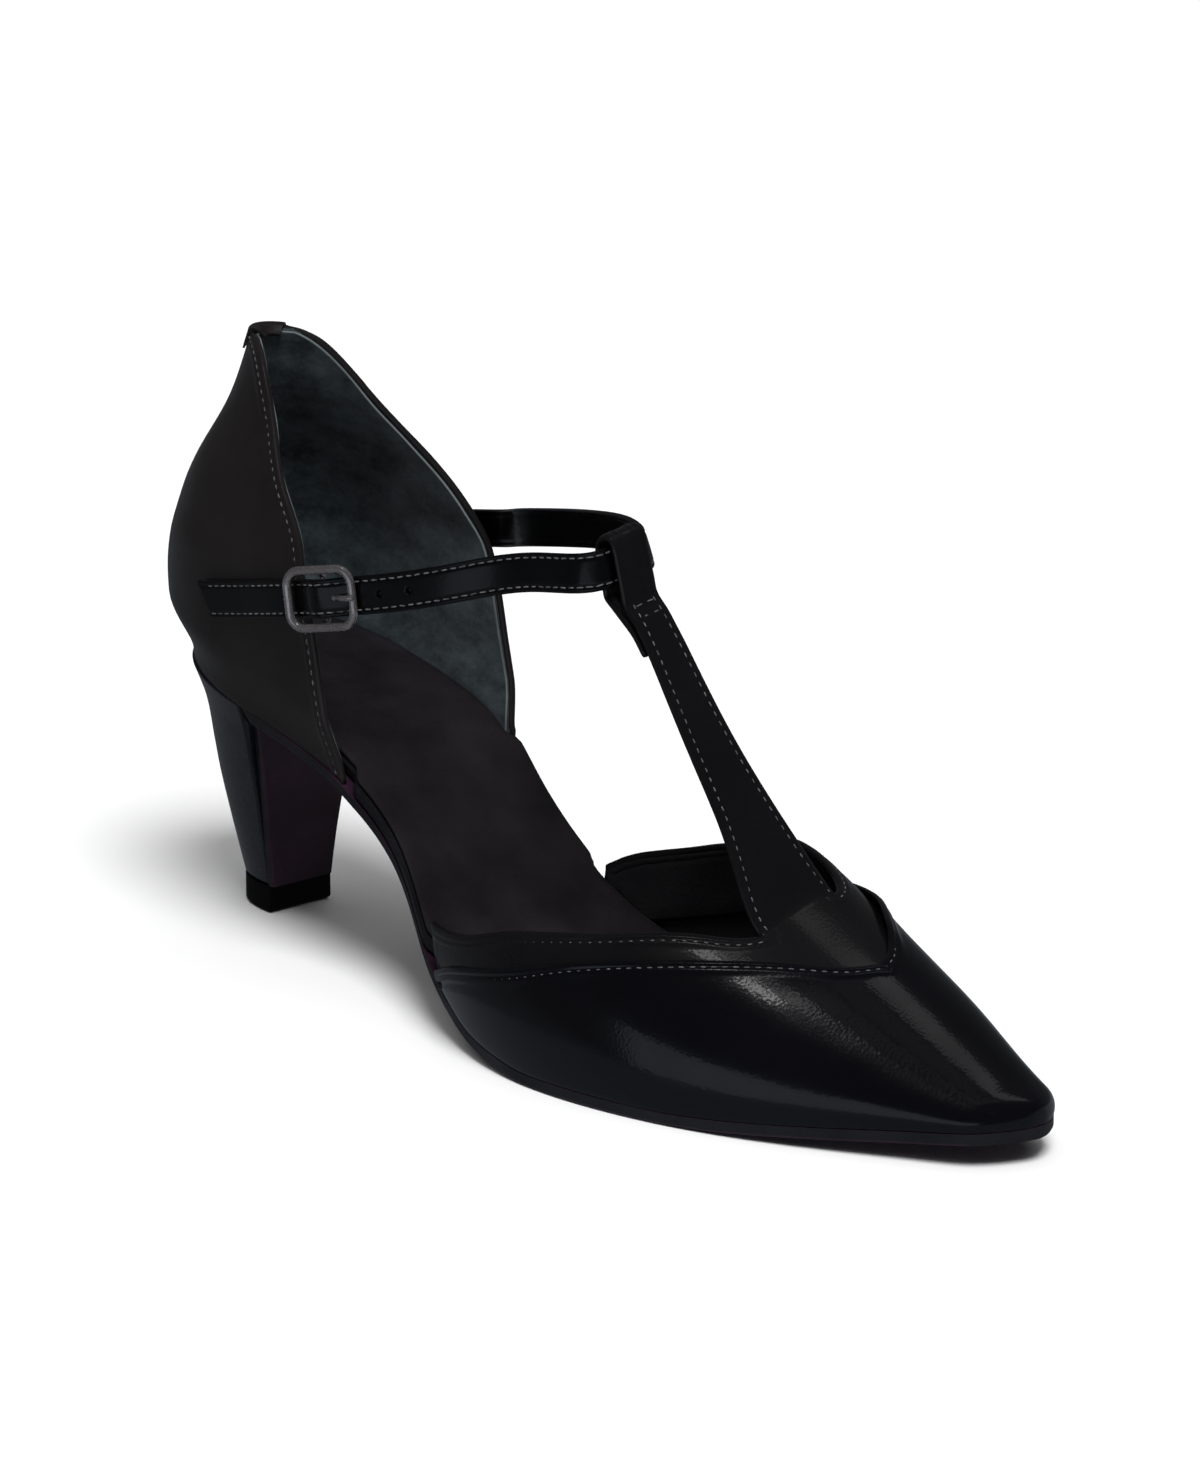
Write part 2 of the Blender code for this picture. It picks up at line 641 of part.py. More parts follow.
def offset_line(points, distance):
    """Moves a line of (along, wrap) points sideways, towards the toe."""
    scale = np.array([SHOE_LENGTH, BALL_WIDTH * 0.75])
    flat = points * scale
    way = np.gradient(flat, axis=0)
    side = np.stack([way[:, 1], -way[:, 0]], axis=-1)
    side /= np.linalg.norm(side, axis=1, keepdims=True)
    side *= np.where(side[:, :1] < 0, -1, 1)
    return (flat + side * distance) / scale


def make_vamp(collection, leather):
    lateral = offset_line(dense(SEAM_LATERAL, 80), 1.5 * GAP)
    medial = offset_line(dense(SEAM_MEDIAL, 80), 1.5 * GAP)
    point = SEAM_LATERAL[-1][1]
    lateral = lateral[lateral[:, 1] < point]
    medial = medial[medial[:, 1] > point]
    tip_along = SEAM_LATERAL[-1][0] + 3 * GAP / SHOE_LENGTH
    edge_wrap = np.concatenate([lateral[:, 1], [point], medial[:, 1]])
    edge_along = np.concatenate([lateral[:, 0], [tip_along], medial[:, 0]])
    order = np.argsort(edge_wrap)
    sides = np.array([1, 0.94, 0.86, 0.77, 0.67, 0.57, 0.47, 0.38, 0.29, 0.21, 0.14, -point, 0.035])
    wraps = np.concatenate([-sides, [0], sides[::-1]])
    starts = np.interp(wraps, edge_wrap[order], edge_along[order])
    last = TOE_END - 0.15 * MM / SHOE_LENGTH
    rows = []
    count = 24
    for i in range(count + 1):
        t = 1 - (1 - i / count) ** 1.45
        rows.append(forefoot(starts + (last - starts) * t, wraps))
    size = len(wraps)
    closing = []
    for j in range(size // 2):
        face = [(count, j), (count, j + 1), (count, size - 2 - j), (count, size - 1 - j)]
        closing.append(face if j + 1 < size - 2 - j else face[:2] + face[3:])
    mesh = grid_mesh("upper_vamp", rows, more_faces=closing)
    obj = new_object("upper_vamp", mesh, leather, collection)
    return shell(obj, VAMP_WALL, (1, 0, 0))


def strip(lower, upper, cells):
    """Surface rows between two lines on the forefoot, stepped in below the vamp."""
    rows = []
    for a, b in zip(lower, upper):
        t = np.linspace(0, 1, cells + 1)[:, None]
        between = a + (b - a) * t
        rows.append(forefoot(between[:, 0], between[:, 1], BAND_STEP))
    return rows


def t_frames():
    """Front-face stations of the T-strap: x, z, half width, roll, from base to fold."""
    run = [row[1] for row in T_STRAP]
    along = natural_curve(run, column(T_STRAP, 0))
    half = natural_curve(run, column(T_STRAP, 2))
    roll = natural_curve(run, column(T_STRAP, 3))
    shares = np.linspace(run[0], run[-1], 18)
    return [(world_x(along(s)), s * BACK_HEIGHT, half(s) * BALL_WIDTH, math.radians(roll(s))) for s in shares]


def loop_climb():
    return STRAP_WIDTH + 3.5 * LOOP_ROOM


def loop_way():
    """Direction up the loop and outward from its front face, as (x, z)."""
    lean = math.radians(LOOP_LEAN)
    return np.array([-math.sin(lean), math.cos(lean)]), np.array([math.cos(lean), math.sin(lean)])


def fold_line():
    """The loop at the top of the T and its turned-back end, as (x, z) on the outer face."""
    frames = np.array([row[:2] for row in t_frames()])
    end = frames[-1]
    way, normal = loop_way()
    radius = STRAP_THICK / 2 + LOOP_ROOM + BAND_WALL
    climb = loop_climb()
    points = [end + way * step for step in np.linspace(0, climb, 6)[1:]]
    centre = points[-1] - normal * radius
    for angle in np.linspace(0, math.pi, 9)[1:]:
        points.append(centre + radius * (normal * math.cos(angle) + way * math.sin(angle)))
    for step in np.linspace(0, climb - 1.5 * MM, 5)[1:]:
        points.append(centre - normal * radius - way * step)
    run = np.concatenate([[0], np.cumsum(np.linalg.norm(np.diff(frames[::-1], axis=0), axis=1))])
    under = 2 * BAND_WALL + GAP
    base = points[-1]
    for share in np.linspace(0, 1, 8)[1:]:
        at = [np.interp(TURNED_END * share + d, run, frames[::-1, i]) for d in (0, MM) for i in (0, 1)]
        down = np.array([at[2] - at[0], at[3] - at[1]]) / MM
        behind = np.array([down[1], -down[0]])
        target = np.array(at[:2]) + behind * under
        points.append(target + (base - end - behind * under) * (1 - smooth_step(share * 1.6)))
    return points


def make_band(collection, leather):
    """The collar band and T-strap, one piece that lies inside the vamp's edge."""
    cells, across = 3, 6
    lateral_low = dense(SEAM_LATERAL, 22, (0, 0.90))
    lateral_top = dense(TOPLINE_LATERAL, 22)
    medial_low = dense(SEAM_MEDIAL, 22, (0.10, 1))
    medial_top = dense(TOPLINE_MEDIAL, 22)
    front = np.concatenate([
        dense(SEAM_LATERAL, across // 2 + 1, (0.90, 1)),
        dense(SEAM_MEDIAL, across // 2 + 1, (0, 0.10))[1:],
    ])
    t = np.linspace(0, 1, across + 1)[:, None]
    base = lateral_top[-1] + (medial_top[0] - lateral_top[-1]) * t
    shape = bmesh.new()

    def add(rows):
        rows = [[shape.verts.new(point) for point in row] for row in rows]
        for first, second in zip(rows, rows[1:]):
            for j in range(len(first) - 1):
                shape.faces.new((first[j], first[j + 1], second[j + 1], second[j]))

    add(strip(lateral_low, lateral_top, cells))
    add(strip(medial_low, medial_top, cells))
    middle_rows = []
    for level in np.linspace(0, 1, cells + 1):
        between = front + (base - front) * level
        middle_rows.append(forefoot(between[:, 0], between[:, 1], BAND_STEP))
    add(middle_rows)
    shift = T_SHIFT * BALL_WIDTH
    rows = [middle_rows[-1]]
    across_share = np.linspace(-1, 1, across + 1)
    for x, z, half, roll in t_frames():
        y = across_share * half
        rows.append([(x, shift + v, z + v * math.sin(roll)) for v in y])
    x, z, half, roll = t_frames()[-1]
    for px, pz in fold_line():
        y = across_share * half
        rows.append([(px, shift + v, pz + v * math.sin(roll)) for v in y])
    add(rows)
    mesh = finish_mesh("collar_band_t_strap", shape)
    obj = new_object("collar_band_t_strap", mesh, leather, collection)
    return shell(obj, BAND_WALL, (0, 0.2, -1))


def loop_rows():
    """The ankle strap's stations where it lies flat in the T's loop."""
    way, normal = loop_way()
    x, z, half, roll = t_frames()[-1]
    into = BAND_WALL + LOOP_ROOM + STRAP_THICK / 2
    centre = np.array([x, z]) + way * (loop_climb() + LOOP_ROOM - STRAP_WIDTH / 2) - normal * into
    rows = []
    for share in (-1.25, -0.85, -0.4, 0.0, 0.4, 0.85, 1.25):
        y = share * half
        rows.append((centre[0], T_SHIFT * BALL_WIDTH + y, centre[1] + y * math.sin(roll), LOOP_LEAN))
    return rows


def ankle_frames():
    """Centre, lean and raise along the strap, with its laps on the quarter's outside."""
    stand_off = GAP + STRAP_THICK / 2
    shift = QUARTER_SHIFT * BALL_WIDTH
    rows = []
    for along, height in LATERAL_LAP:
        z = height * BACK_HEIGHT
        x = float(world_x(along))
        rows.append((x, shift - float(quarter_half(x, z)) - stand_off, z, 0))
    for along, y, height, lean in ANKLE_FRONT:
        rows.append((float(world_x(along)), y * BALL_WIDTH, height * BACK_HEIGHT, lean))
    rows.extend(loop_rows())
    for along, y, height, lean in ANKLE_BACK:
        rows.append((float(world_x(along)), y * BALL_WIDTH, height * BACK_HEIGHT, lean))
    for along, height in MEDIAL_LAP:
        z = height * BACK_HEIGHT
        x = float(world_x(along))
        rows.append((x, shift + float(quarter_half(x, z)) + stand_off + GAP, z, 0))
    rows = np.array(rows)
    run = np.concatenate([[0], np.cumsum(np.linalg.norm(np.diff(rows[:, :3], axis=0), axis=1))])
    curves = [natural_curve(run, rows[:, i]) for i in range(4)]
    return run, curves


def ankle_point(s):
    """Centre, direction along, width direction and outward normal at distance s."""
    run, curves = ankle_frames()
    centre = np.array([float(c(s)) for c in curves[:3]])
    ahead = np.array([float(c(s + 0.3 * MM)) for c in curves[:3]])
    behind = np.array([float(c(s - 0.3 * MM)) for c in curves[:3]])
    way = (ahead - behind) / np.linalg.norm(ahead - behind)
    outward = np.cross(way, (0, 0, 1.0))
    outward /= np.linalg.norm(outward)
    up = np.cross(outward, way)
    lean = math.radians(float(curves[3](s)))
    normal = outward * math.cos(lean) + up * math.sin(lean)
    width = up * math.cos(lean) - outward * math.sin(lean)
    return centre, way, width, normal


def buckle_place():
    """Distance along the strap of the buckle's middle."""
    run, _ = ankle_frames()
    return run[2] + BUCKLE_LENGTH / 2 - 0.5 * MM


def strap_raise(s):
    """The strap rides over the buckle's centre bar."""
    t = abs(s - buckle_place()) / (BUCKLE_LENGTH * 0.36)
    return (BUCKLE_WIRE + 0.4 * MM) * (1 - smooth_step(t))


def make_ankle_strap(collection, leather):
    run, _ = ankle_frames()
    stations = np.linspace(0, run[-1], 80)
    ease = 0.4 * MM
    rows = []
    for s in stations:
        centre, way, width, normal = ankle_point(s)
        centre = centre + normal * strap_raise(s)
        slant = END_SLANT * max(0.0, 1 - s / (8 * MM))
        half, thick = STRAP_WIDTH / 2, STRAP_THICK / 2
        corners = [(-half, thick - ease), (-half + ease, thick), (half - ease, thick), (half, thick - ease),
                   (half, -thick), (-half, -thick)]
        rows.append([centre + width * a + normal * b - way * slant * a / half * 0.5 for a, b in corners])
    mesh = grid_mesh("ankle_strap", rows, ring=True, ends=True)
    new_object("ankle_strap", mesh, leather, collection)


def wire_object(name, points, radius, cyclic, metal, collection):
    curve = bpy.data.curves.new(name, "CURVE")
    curve.dimensions = "3D"
    curve.bevel_depth = radius
    curve.bevel_resolution = 2
    curve.use_fill_caps = True
    line = curve.splines.new("POLY")
    line.points.add(len(points) - 1)
    for point, co in zip(line.points, points):
        point.co = (*co, 1)
    line.use_cyclic_u = cyclic
    curve.materials.append(metal)
    obj = bpy.data.objects.new(name, curve)
    collection.objects.link(obj)
    return obj


def make_buckle(collection, metal):
    """A rounded frame with a centre bar, made one mesh, and its prong."""
    centre, way, width, normal = ankle_point(buckle_place())
    level = STRAP_THICK / 2 + GAP + BUCKLE_WIRE / 2
    half_x = (BUCKLE_LENGTH - BUCKLE_WIRE) / 2
    half_y = (BUCKLE_HEIGHT - BUCKLE_WIRE) / 2
    corner = 3.2 * MM

    def place(u, v, w):
        return centre + way * u + width * v + normal * w

    points = []
    for quadrant, (sx, sy) in enumerate([(1, 1), (-1, 1), (-1, -1), (1, -1)]):
        for step in range(6):
            angle = math.pi / 2 * (quadrant + step / 5)
            u = sx * (half_x - corner) + corner * math.cos(angle)
            v = sy * (half_y - corner) + corner * math.sin(angle)
            points.append(place(u, v, level))
    frame = wire_object("buckle_frame_wire", points, BUCKLE_WIRE / 2, True, metal, collection)
    bar_ends = [place(0, -half_y, level), place(0, -half_y + 1.3 * MM, level - 1.2 * MM),
                place(0, half_y - 1.3 * MM, level - 1.2 * MM), place(0, half_y, level)]
    bar_level = -STRAP_THICK / 2 + strap_raise(buckle_place()) - GAP - BUCKLE_WIRE / 2
    bar_ends[1] = place(0, -half_y + 1.2 * MM, bar_level)
    bar_ends[2] = place(0, half_y - 1.2 * MM, bar_level)
    bar = wire_object("buckle_bar_wire", bar_ends, BUCKLE_WIRE * 0.42, False, metal, collection)
    meshes = []
    for wire in (frame, bar):
        bpy.context.view_layer.update()
        evaluated = wire.evaluated_get(bpy.context.evaluated_depsgraph_get())
        mesh = bpy.data.meshes.new_from_object(evaluated)
        shape = bmesh.new()
        shape.from_mesh(mesh)
        bmesh.ops.remove_doubles(shape, verts=shape.verts, dist=1e-6)
        bmesh.ops.recalc_face_normals(shape, faces=shape.faces)
        shape.to_mesh(mesh)
        shape.free()
        mesh.shade_smooth()
        meshes.append(mesh)
        bpy.data.objects.remove(wire)
    obj = new_object("buckle_frame", meshes[0], metal, collection)
    cutter_group = bpy.data.collections["joining forms"]
    bar_obj = bpy.data.objects.new("buckle_bar_form", meshes[1])
    bar_obj.hide_render = True
    bar_obj.display_type = "WIRE"
    cutter_group.objects.link(bar_obj)
    union = obj.modifiers.new("centre bar", "BOOLEAN")
    union.operation = "UNION"
    union.object = bar_obj
    over = STRAP_THICK / 2 + GAP + 0.5 * MM
    top = level + BUCKLE_WIRE / 2 + 0.3 * MM + 0.45 * MM
    prong = [place(half_x * 0.52, 0, over + 0.35 * MM), place(half_x * 0.72, 0, top - 0.15 * MM),
             place(half_x, 0, top), place(half_x + 1.2 * MM, 0, top - 0.1 * MM)]
    rod = wire_object("buckle_prong", prong, 0.45 * MM, False, metal, collection)
    return rod


def main():
    for obj in list(bpy.data.objects):
        bpy.data.objects.remove(obj)
    shoe = bpy.data.collections.new("t strap shoe")
    forms = bpy.data.collections.new("joining forms")
    bpy.context.scene.collection.children.link(shoe)
    bpy.context.scene.collection.children.link(forms)
    gloss = material("black gloss leather", (0.006, 0.006, 0.008), 0.12, coat=1.0)
    wrapped = material("black leather edge", (0.008, 0.008, 0.010), 0.35)
    sock = material("charcoal sock leather", (0.018, 0.015, 0.017), 0.55)
    burgundy = material("plum sole leather", (0.030, 0.008, 0.016), 0.40)
    rubber = material("black rubber", (0.006, 0.005, 0.006), 0.6)
    metal = material("gunmetal", (0.10, 0.09, 0.11), 0.25, metallic=1.0)
    make_outsole(shoe, burgundy)
    make_heel(shoe, gloss, rubber)
    make_insole(shoe, wrapped, sock)
    make_quarter(shoe, gloss)
    make_back_tab(shoe, gloss)
    make_vamp(shoe, gloss)
    make_band(shoe, gloss)
    make_ankle_strap(shoe, gloss)
    make_buckle(shoe, metal)


main()
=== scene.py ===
"""Looks of a black T-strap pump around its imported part: gloss leather, lining, seams, stitches and buckle.

The pieces are worked out from the same named sizes and tables as the part, on finer grids,
with folded edges, stitch rows, creases and a lining. +X runs from heel to toe, +Y to the
medial side, and along is a share of SHOE_LENGTH from the back of the counter.
"""

import functools
import math

import bpy
import numpy as np
from mathutils import Matrix, Vector
from mathutils.kdtree import KDTree


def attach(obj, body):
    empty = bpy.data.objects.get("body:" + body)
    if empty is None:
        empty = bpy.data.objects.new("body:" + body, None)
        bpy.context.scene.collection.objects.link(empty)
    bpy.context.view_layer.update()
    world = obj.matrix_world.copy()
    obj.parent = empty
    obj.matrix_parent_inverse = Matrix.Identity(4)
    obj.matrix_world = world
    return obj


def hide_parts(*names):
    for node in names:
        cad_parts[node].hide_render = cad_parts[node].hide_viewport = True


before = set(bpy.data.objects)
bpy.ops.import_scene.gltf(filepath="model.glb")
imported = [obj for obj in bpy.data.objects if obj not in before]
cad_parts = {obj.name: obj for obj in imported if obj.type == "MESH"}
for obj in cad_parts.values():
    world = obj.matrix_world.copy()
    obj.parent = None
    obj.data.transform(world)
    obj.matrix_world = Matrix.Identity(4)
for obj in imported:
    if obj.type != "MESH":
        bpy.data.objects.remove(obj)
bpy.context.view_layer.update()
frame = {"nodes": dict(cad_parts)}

MM = 0.001

# Driving dimensions
SHOE_LENGTH = 245 * MM
BALL_WIDTH = 69.8 * MM
SEAT_RISE = 54 * MM
BACK_HEIGHT = 122.9 * MM
POINT_HEIGHT = 28.6 * MM
SOLE_THICK = 2.4 * MM
BOARD_THICK = 2.9 * MM
SOCK_THICK = 0.9 * MM
VAMP_WALL = 2.0 * MM
QUARTER_WALL = 2.2 * MM
BAND_WALL = 1.5 * MM
BAND_STEP = 1.0 * MM
GAP = 0.3 * MM
NOSE_DEPTH = 7 * MM
HEEL_REST_ALONG = 0.1
TOP_PIECE_WIDTH = 16.4 * MM
TOP_PIECE_LENGTH = 14.8 * MM
TOP_PIECE_HEIGHT = 6 * MM
FLAP_THICK = 1.6 * MM
STRAP_WIDTH = 7.8 * MM
STRAP_THICK = 1.8 * MM
TAB_WIDTH = 9 * MM
TAB_DROP = 3.8 * MM
TAB_THICK = 1.0 * MM
BUCKLE_LENGTH = 17 * MM
BUCKLE_HEIGHT = 13.2 * MM
BUCKLE_WIRE = 1.5 * MM
TURNED_END = 10.5 * MM
LOOP_ROOM = 0.8 * MM
FOREFOOT_EASE = 0.9 * MM  # how much nearer to the wall the layers lie under the vamp
FEATHER_BLEND = 12 * MM  # height over which the quarter leaves the feather line's outline
BACK_SEARCH = 40 * MM  # length over which the quarter's back is looked for

ORIGIN_X = HEEL_REST_ALONG * SHOE_LENGTH
WRAP_REACH = BALL_WIDTH * 0.75  # length that one unit of wrap spans

# Outline of the feather line, where the upper meets the sole
PLAN = [  # along, half width / BALL_WIDTH, shift to medial / BALL_WIDTH
    (0.167, 0.338, 0.014), (0.232, 0.338, 0.014), (0.301, 0.328, 0.009), (0.362, 0.304, -0.007),
    (0.403, 0.325, -0.027), (0.444, 0.367, -0.046), (0.485, 0.409, -0.050),
    (0.526, 0.449, -0.049), (0.607, 0.500, -0.033), (0.689, 0.496, -0.006),
    (0.771, 0.440, 0.020), (0.852, 0.337, 0.044), (0.934, 0.209, 0.073),
    (0.975, 0.142, 0.096), (1.000, 0.089, 0.119),
]
TOE_END = 0.994
SEAT_BACK = 0.029
SEAT_ROUND = 0.138

# Height of the feather line over the flat tread
LIFT = [  # along, height / SEAT_RISE
    (0.028, 1.000), (0.097, 0.944), (0.167, 0.885), (0.232, 0.822), (0.281, 0.756),
    (0.322, 0.652), (0.362, 0.520), (0.403, 0.370), (0.444, 0.224), (0.485, 0.114),
    (0.526, 0.046), (0.567, 0.015), (0.607, 0.000), (0.730, 0.000), (0.771, 0.006),
    (0.852, 0.035), (0.934, 0.070), (1.000, 0.093),
]

# Ridge of the last over the forefoot
RIDGE = [  # along, ridge to medial / BALL_WIDTH, height / POINT_HEIGHT
    (0.403, 0.067, 2.517), (0.477, 0.110, 2.308), (0.546, 0.129, 2.045),
    (0.607, 0.146, 1.818), (0.669, 0.153, 1.594), (0.734, 0.153, 1.371),
    (0.779, 0.149, 1.203), (0.807, 0.143, 1.098), (0.832, 0.139, 1.000),
    (0.877, 0.136, 0.825), (0.938, 0.132, 0.587), (0.975, 0.127, 0.462),
    (1.000, 0.125, 0.406),
]
FULLNESS = [  # along, lateral exponent, medial exponent, tuck under the side / BALL_WIDTH
    (0.444, 2.30, 2.30, 0.057), (0.526, 2.12, 2.12, 0.046), (0.607, 2.05, 2.10, 0.032),
    (0.689, 1.97, 2.22, 0.026), (0.771, 1.90, 2.02, 0.021), (0.832, 1.91, 2.10, 0.018),
    (0.893, 1.93, 2.25, 0.016), (0.940, 2.00, 2.15, 0.014), (1.000, 2.10, 1.95, 0.011),
]

# Seams on the forefoot: wrap runs from -1 at the lateral feather over 0 at the ridge to 1
SEAM_LATERAL = [  # along, wrap
    (0.456, -1.000), (0.485, -0.930), (0.526, -0.850), (0.571, -0.779), (0.628, -0.677),
    (0.682, -0.572), (0.742, -0.437), (0.789, -0.298), (0.815, -0.184), (0.824, -0.079),
]
SEAM_MEDIAL = [
    (0.824, -0.079), (0.815, 0.010), (0.799, 0.103), (0.771, 0.230), (0.739, 0.362),
    (0.681, 0.520), (0.628, 0.635), (0.571, 0.745), (0.505, 0.860), (0.432, 1.000),
]
TOPLINE_LATERAL = [
    (0.456, -0.915), (0.485, -0.865), (0.526, -0.785), (0.562, -0.710), (0.649, -0.555),
    (0.716, -0.403), (0.748, -0.312), (0.752, -0.286),
]
TOPLINE_MEDIAL = [
    (0.747, 0.044), (0.743, 0.095), (0.728, 0.180), (0.704, 0.255), (0.672, 0.330),
    (0.630, 0.445), (0.588, 0.570), (0.545, 0.669), (0.497, 0.781), (0.459, 0.875),
    (0.432, 0.958),
]

# T-strap over the instep, on its front face
T_STRAP = [  # along, height / BACK_HEIGHT, half width / BALL_WIDTH, roll in degrees
    (0.713, 0.366, 0.113, 6), (0.693, 0.415, 0.097, 4), (0.659, 0.492, 0.080, 3),
    (0.613, 0.606, 0.064, 4), (0.577, 0.694, 0.055, 8), (0.563, 0.722, 0.053, 10),
]
T_SHIFT = 0.030
LOOP_LEAN = 17

# Heel quarter
BACK_LINE = [  # height / BACK_HEIGHT, along at the back
    (0.448, 0.0286), (0.472, 0.0196), (0.504, 0.0073), (0.550, 0.0008), (0.602, 0.0000),
    (0.675, 0.0065), (0.740, 0.0155), (0.810, 0.0343), (0.903, 0.0604), (1.000, 0.0788),
]
QUARTER_WIDTH = [  # height / BACK_HEIGHT, half width / BALL_WIDTH
    (0.325, 0.361), (0.488, 0.361), (0.602, 0.361), (0.651, 0.358), (0.716, 0.327),
    (0.789, 0.287), (0.887, 0.205), (0.976, 0.165), (1.000, 0.150),
]
FRONT_EDGE = [  # height / BACK_HEIGHT, along
    (0.325, 0.302), (0.399, 0.292), (0.504, 0.281), (0.578, 0.273), (0.651, 0.262),
    (0.720, 0.245), (0.793, 0.211), (0.887, 0.167), (0.944, 0.140), (0.976, 0.122),
    (0.996, 0.100), (1.000, 0.0788),
]
EDGE_CORNER = 0.504
QUARTER_ROUND = 0.139
QUARTER_SHIFT = 0.016

# Heel between the seat and the top piece
HEEL_FORM = [  # height / seat height, back along, lateral spread, medial spread
    (0.000, 0.0680, 0.000, 0.000), (0.265, 0.0615, 0.250, -0.020), (0.460, 0.0560, 0.425, 0.000),
    (0.620, 0.0535, 0.577, 0.120), (0.780, 0.0510, 0.735, 0.360), (0.860, 0.0465, 0.816, 0.530),
    (0.930, 0.0385, 0.904, 0.745), (1.000, 0.0290, 1.000, 1.000),
]
BREAST_TOP = 0.166

# Ankle strap: its centre line, from the lateral side to the T's loop
ANKLE_FRONT = [  # along, to medial / BALL_WIDTH, height / BACK_HEIGHT, lean in degrees
    (0.260, -0.362, 0.635, 3), (0.327, -0.289, 0.661, 6), (0.403, -0.198, 0.701, 10),
    (0.478, -0.105, 0.741, 13),
]
ANKLE_BACK = [  # the same, from the loop round to the medial side
    (0.522, 0.150, 0.785, 15), (0.470, 0.190, 0.778, 12), (0.397, 0.236, 0.750, 8),
    (0.324, 0.300, 0.716, 6), (0.262, 0.398, 0.681, 3),
]
LATERAL_LAP = [(0.142, 0.586), (0.199, 0.609)]
MEDIAL_LAP = [(0.215, 0.664), (0.175, 0.646)]
END_SLANT = 3.6 * MM


def natural_curve(knots, values):
    """A smooth function through the values, or through rows of them, flat outside the knots."""
    knots = np.asarray(knots, float)
    values = np.asarray(values, float)
    count = len(knots)
    step = np.diff(knots)
    slope = (np.diff(values, axis=0).T / step).T
    rows = np.eye(count)
    right = np.zeros(values.shape)
    for i in range(1, count - 1):
        rows[i, i - 1:i + 2] = step[i - 1], 2 * (step[i - 1] + step[i]), step[i]
        right[i] = 6 * (slope[i] - slope[i - 1])
    bend = np.linalg.solve(rows, right)

    def at(x):
        x = np.clip(np.asarray(x, float), knots[0], knots[-1])
        i = np.clip(np.searchsorted(knots, x) - 1, 0, count - 2)
        t = x - knots[i]
        wide = step[i]
        if values.ndim > 1:
            t, wide = t[:, None], wide[:, None]
        linear = slope[i] - wide * (2 * bend[i] + bend[i + 1]) / 6
        return values[i] + t * (linear + t * (bend[i] / 2 + t * (bend[i + 1] - bend[i]) / (6 * wide)))

    return at


def steady_curve(knots, values):
    """A function through the points that keeps flat stretches flat."""
    knots = np.asarray(knots, float)
    values = np.asarray(values, float)
    step = np.diff(knots)
    slope = np.diff(values) / step
    tangent = np.zeros(len(knots))
    same = slope[:-1] * slope[1:] > 0
    tangent[1:-1][same] = 2 * slope[:-1][same] * slope[1:][same] / (slope[:-1] + slope[1:])[same]
    tangent[0] = slope[0]
    tangent[-1] = slope[-1]

    def at(x):
        x = np.clip(np.asarray(x, float), knots[0], knots[-1])
        i = np.clip(np.searchsorted(knots, x) - 1, 0, len(knots) - 2)
        t = (x - knots[i]) / step[i]
        rise = (3 * t**2 - 2 * t**3) * (values[i + 1] - values[i])
        turn = t * (1 - t) ** 2 * tangent[i] - t**2 * (1 - t) * tangent[i + 1]
        return values[i] + rise + turn * step[i]

    return at


def column(table, index):
    return [row[index] for row in table]


def world_x(along):
    return np.asarray(along) * SHOE_LENGTH - ORIGIN_X


def share_of(x):
    return (np.asarray(x) + ORIGIN_X) / SHOE_LENGTH


plan_half = natural_curve(column(PLAN, 0), column(PLAN, 1))
plan_shift = natural_curve(column(PLAN, 0), column(PLAN, 2))
lift_share = steady_curve(column(LIFT, 0), column(LIFT, 1))
ridge_shift = natural_curve(column(RIDGE, 0), column(RIDGE, 1))
ridge_height = natural_curve(column(RIDGE, 0), column(RIDGE, 2))
lateral_power = natural_curve(column(FULLNESS, 0), column(FULLNESS, 1))
medial_power = natural_curve(column(FULLNESS, 0), column(FULLNESS, 2))
tuck_share = natural_curve(column(FULLNESS, 0), column(FULLNESS, 3))
back_line = natural_curve(column(BACK_LINE, 0), column(BACK_LINE, 1))
quarter_width = steady_curve(column(QUARTER_WIDTH, 0), column(QUARTER_WIDTH, 1))


def nose(along):
    """1 along the shoe, falling as a quarter ellipse to 0 at the tip."""
    depth = NOSE_DEPTH / SHOE_LENGTH
    return np.sqrt(np.maximum(1 - np.clip((along - TOE_END + depth) / depth, 0, 1) ** 2, 0))


def half_width(along, inside=0.0):
    """Half width of the outline, or of the line that lies inside it by that much."""
    reach = inside / SHOE_LENGTH
    seat = np.clip((SEAT_BACK + SEAT_ROUND - along) / (SEAT_ROUND - reach), 0, 1)
    depth = NOSE_DEPTH / SHOE_LENGTH
    tip = np.clip((along - TOE_END + depth) / (depth - min(reach, 0.6 * depth)), 0, 1)
    return (plan_half(along) * BALL_WIDTH - inside) * np.sqrt((1 - seat**2) * (1 - tip**2))


def middle(along):
    return plan_shift(along) * BALL_WIDTH


def feather(along):
    """Height of the feather line, which is the top of the outsole and of the heel."""
    return SOLE_THICK + lift_share(along) * SEAT_RISE


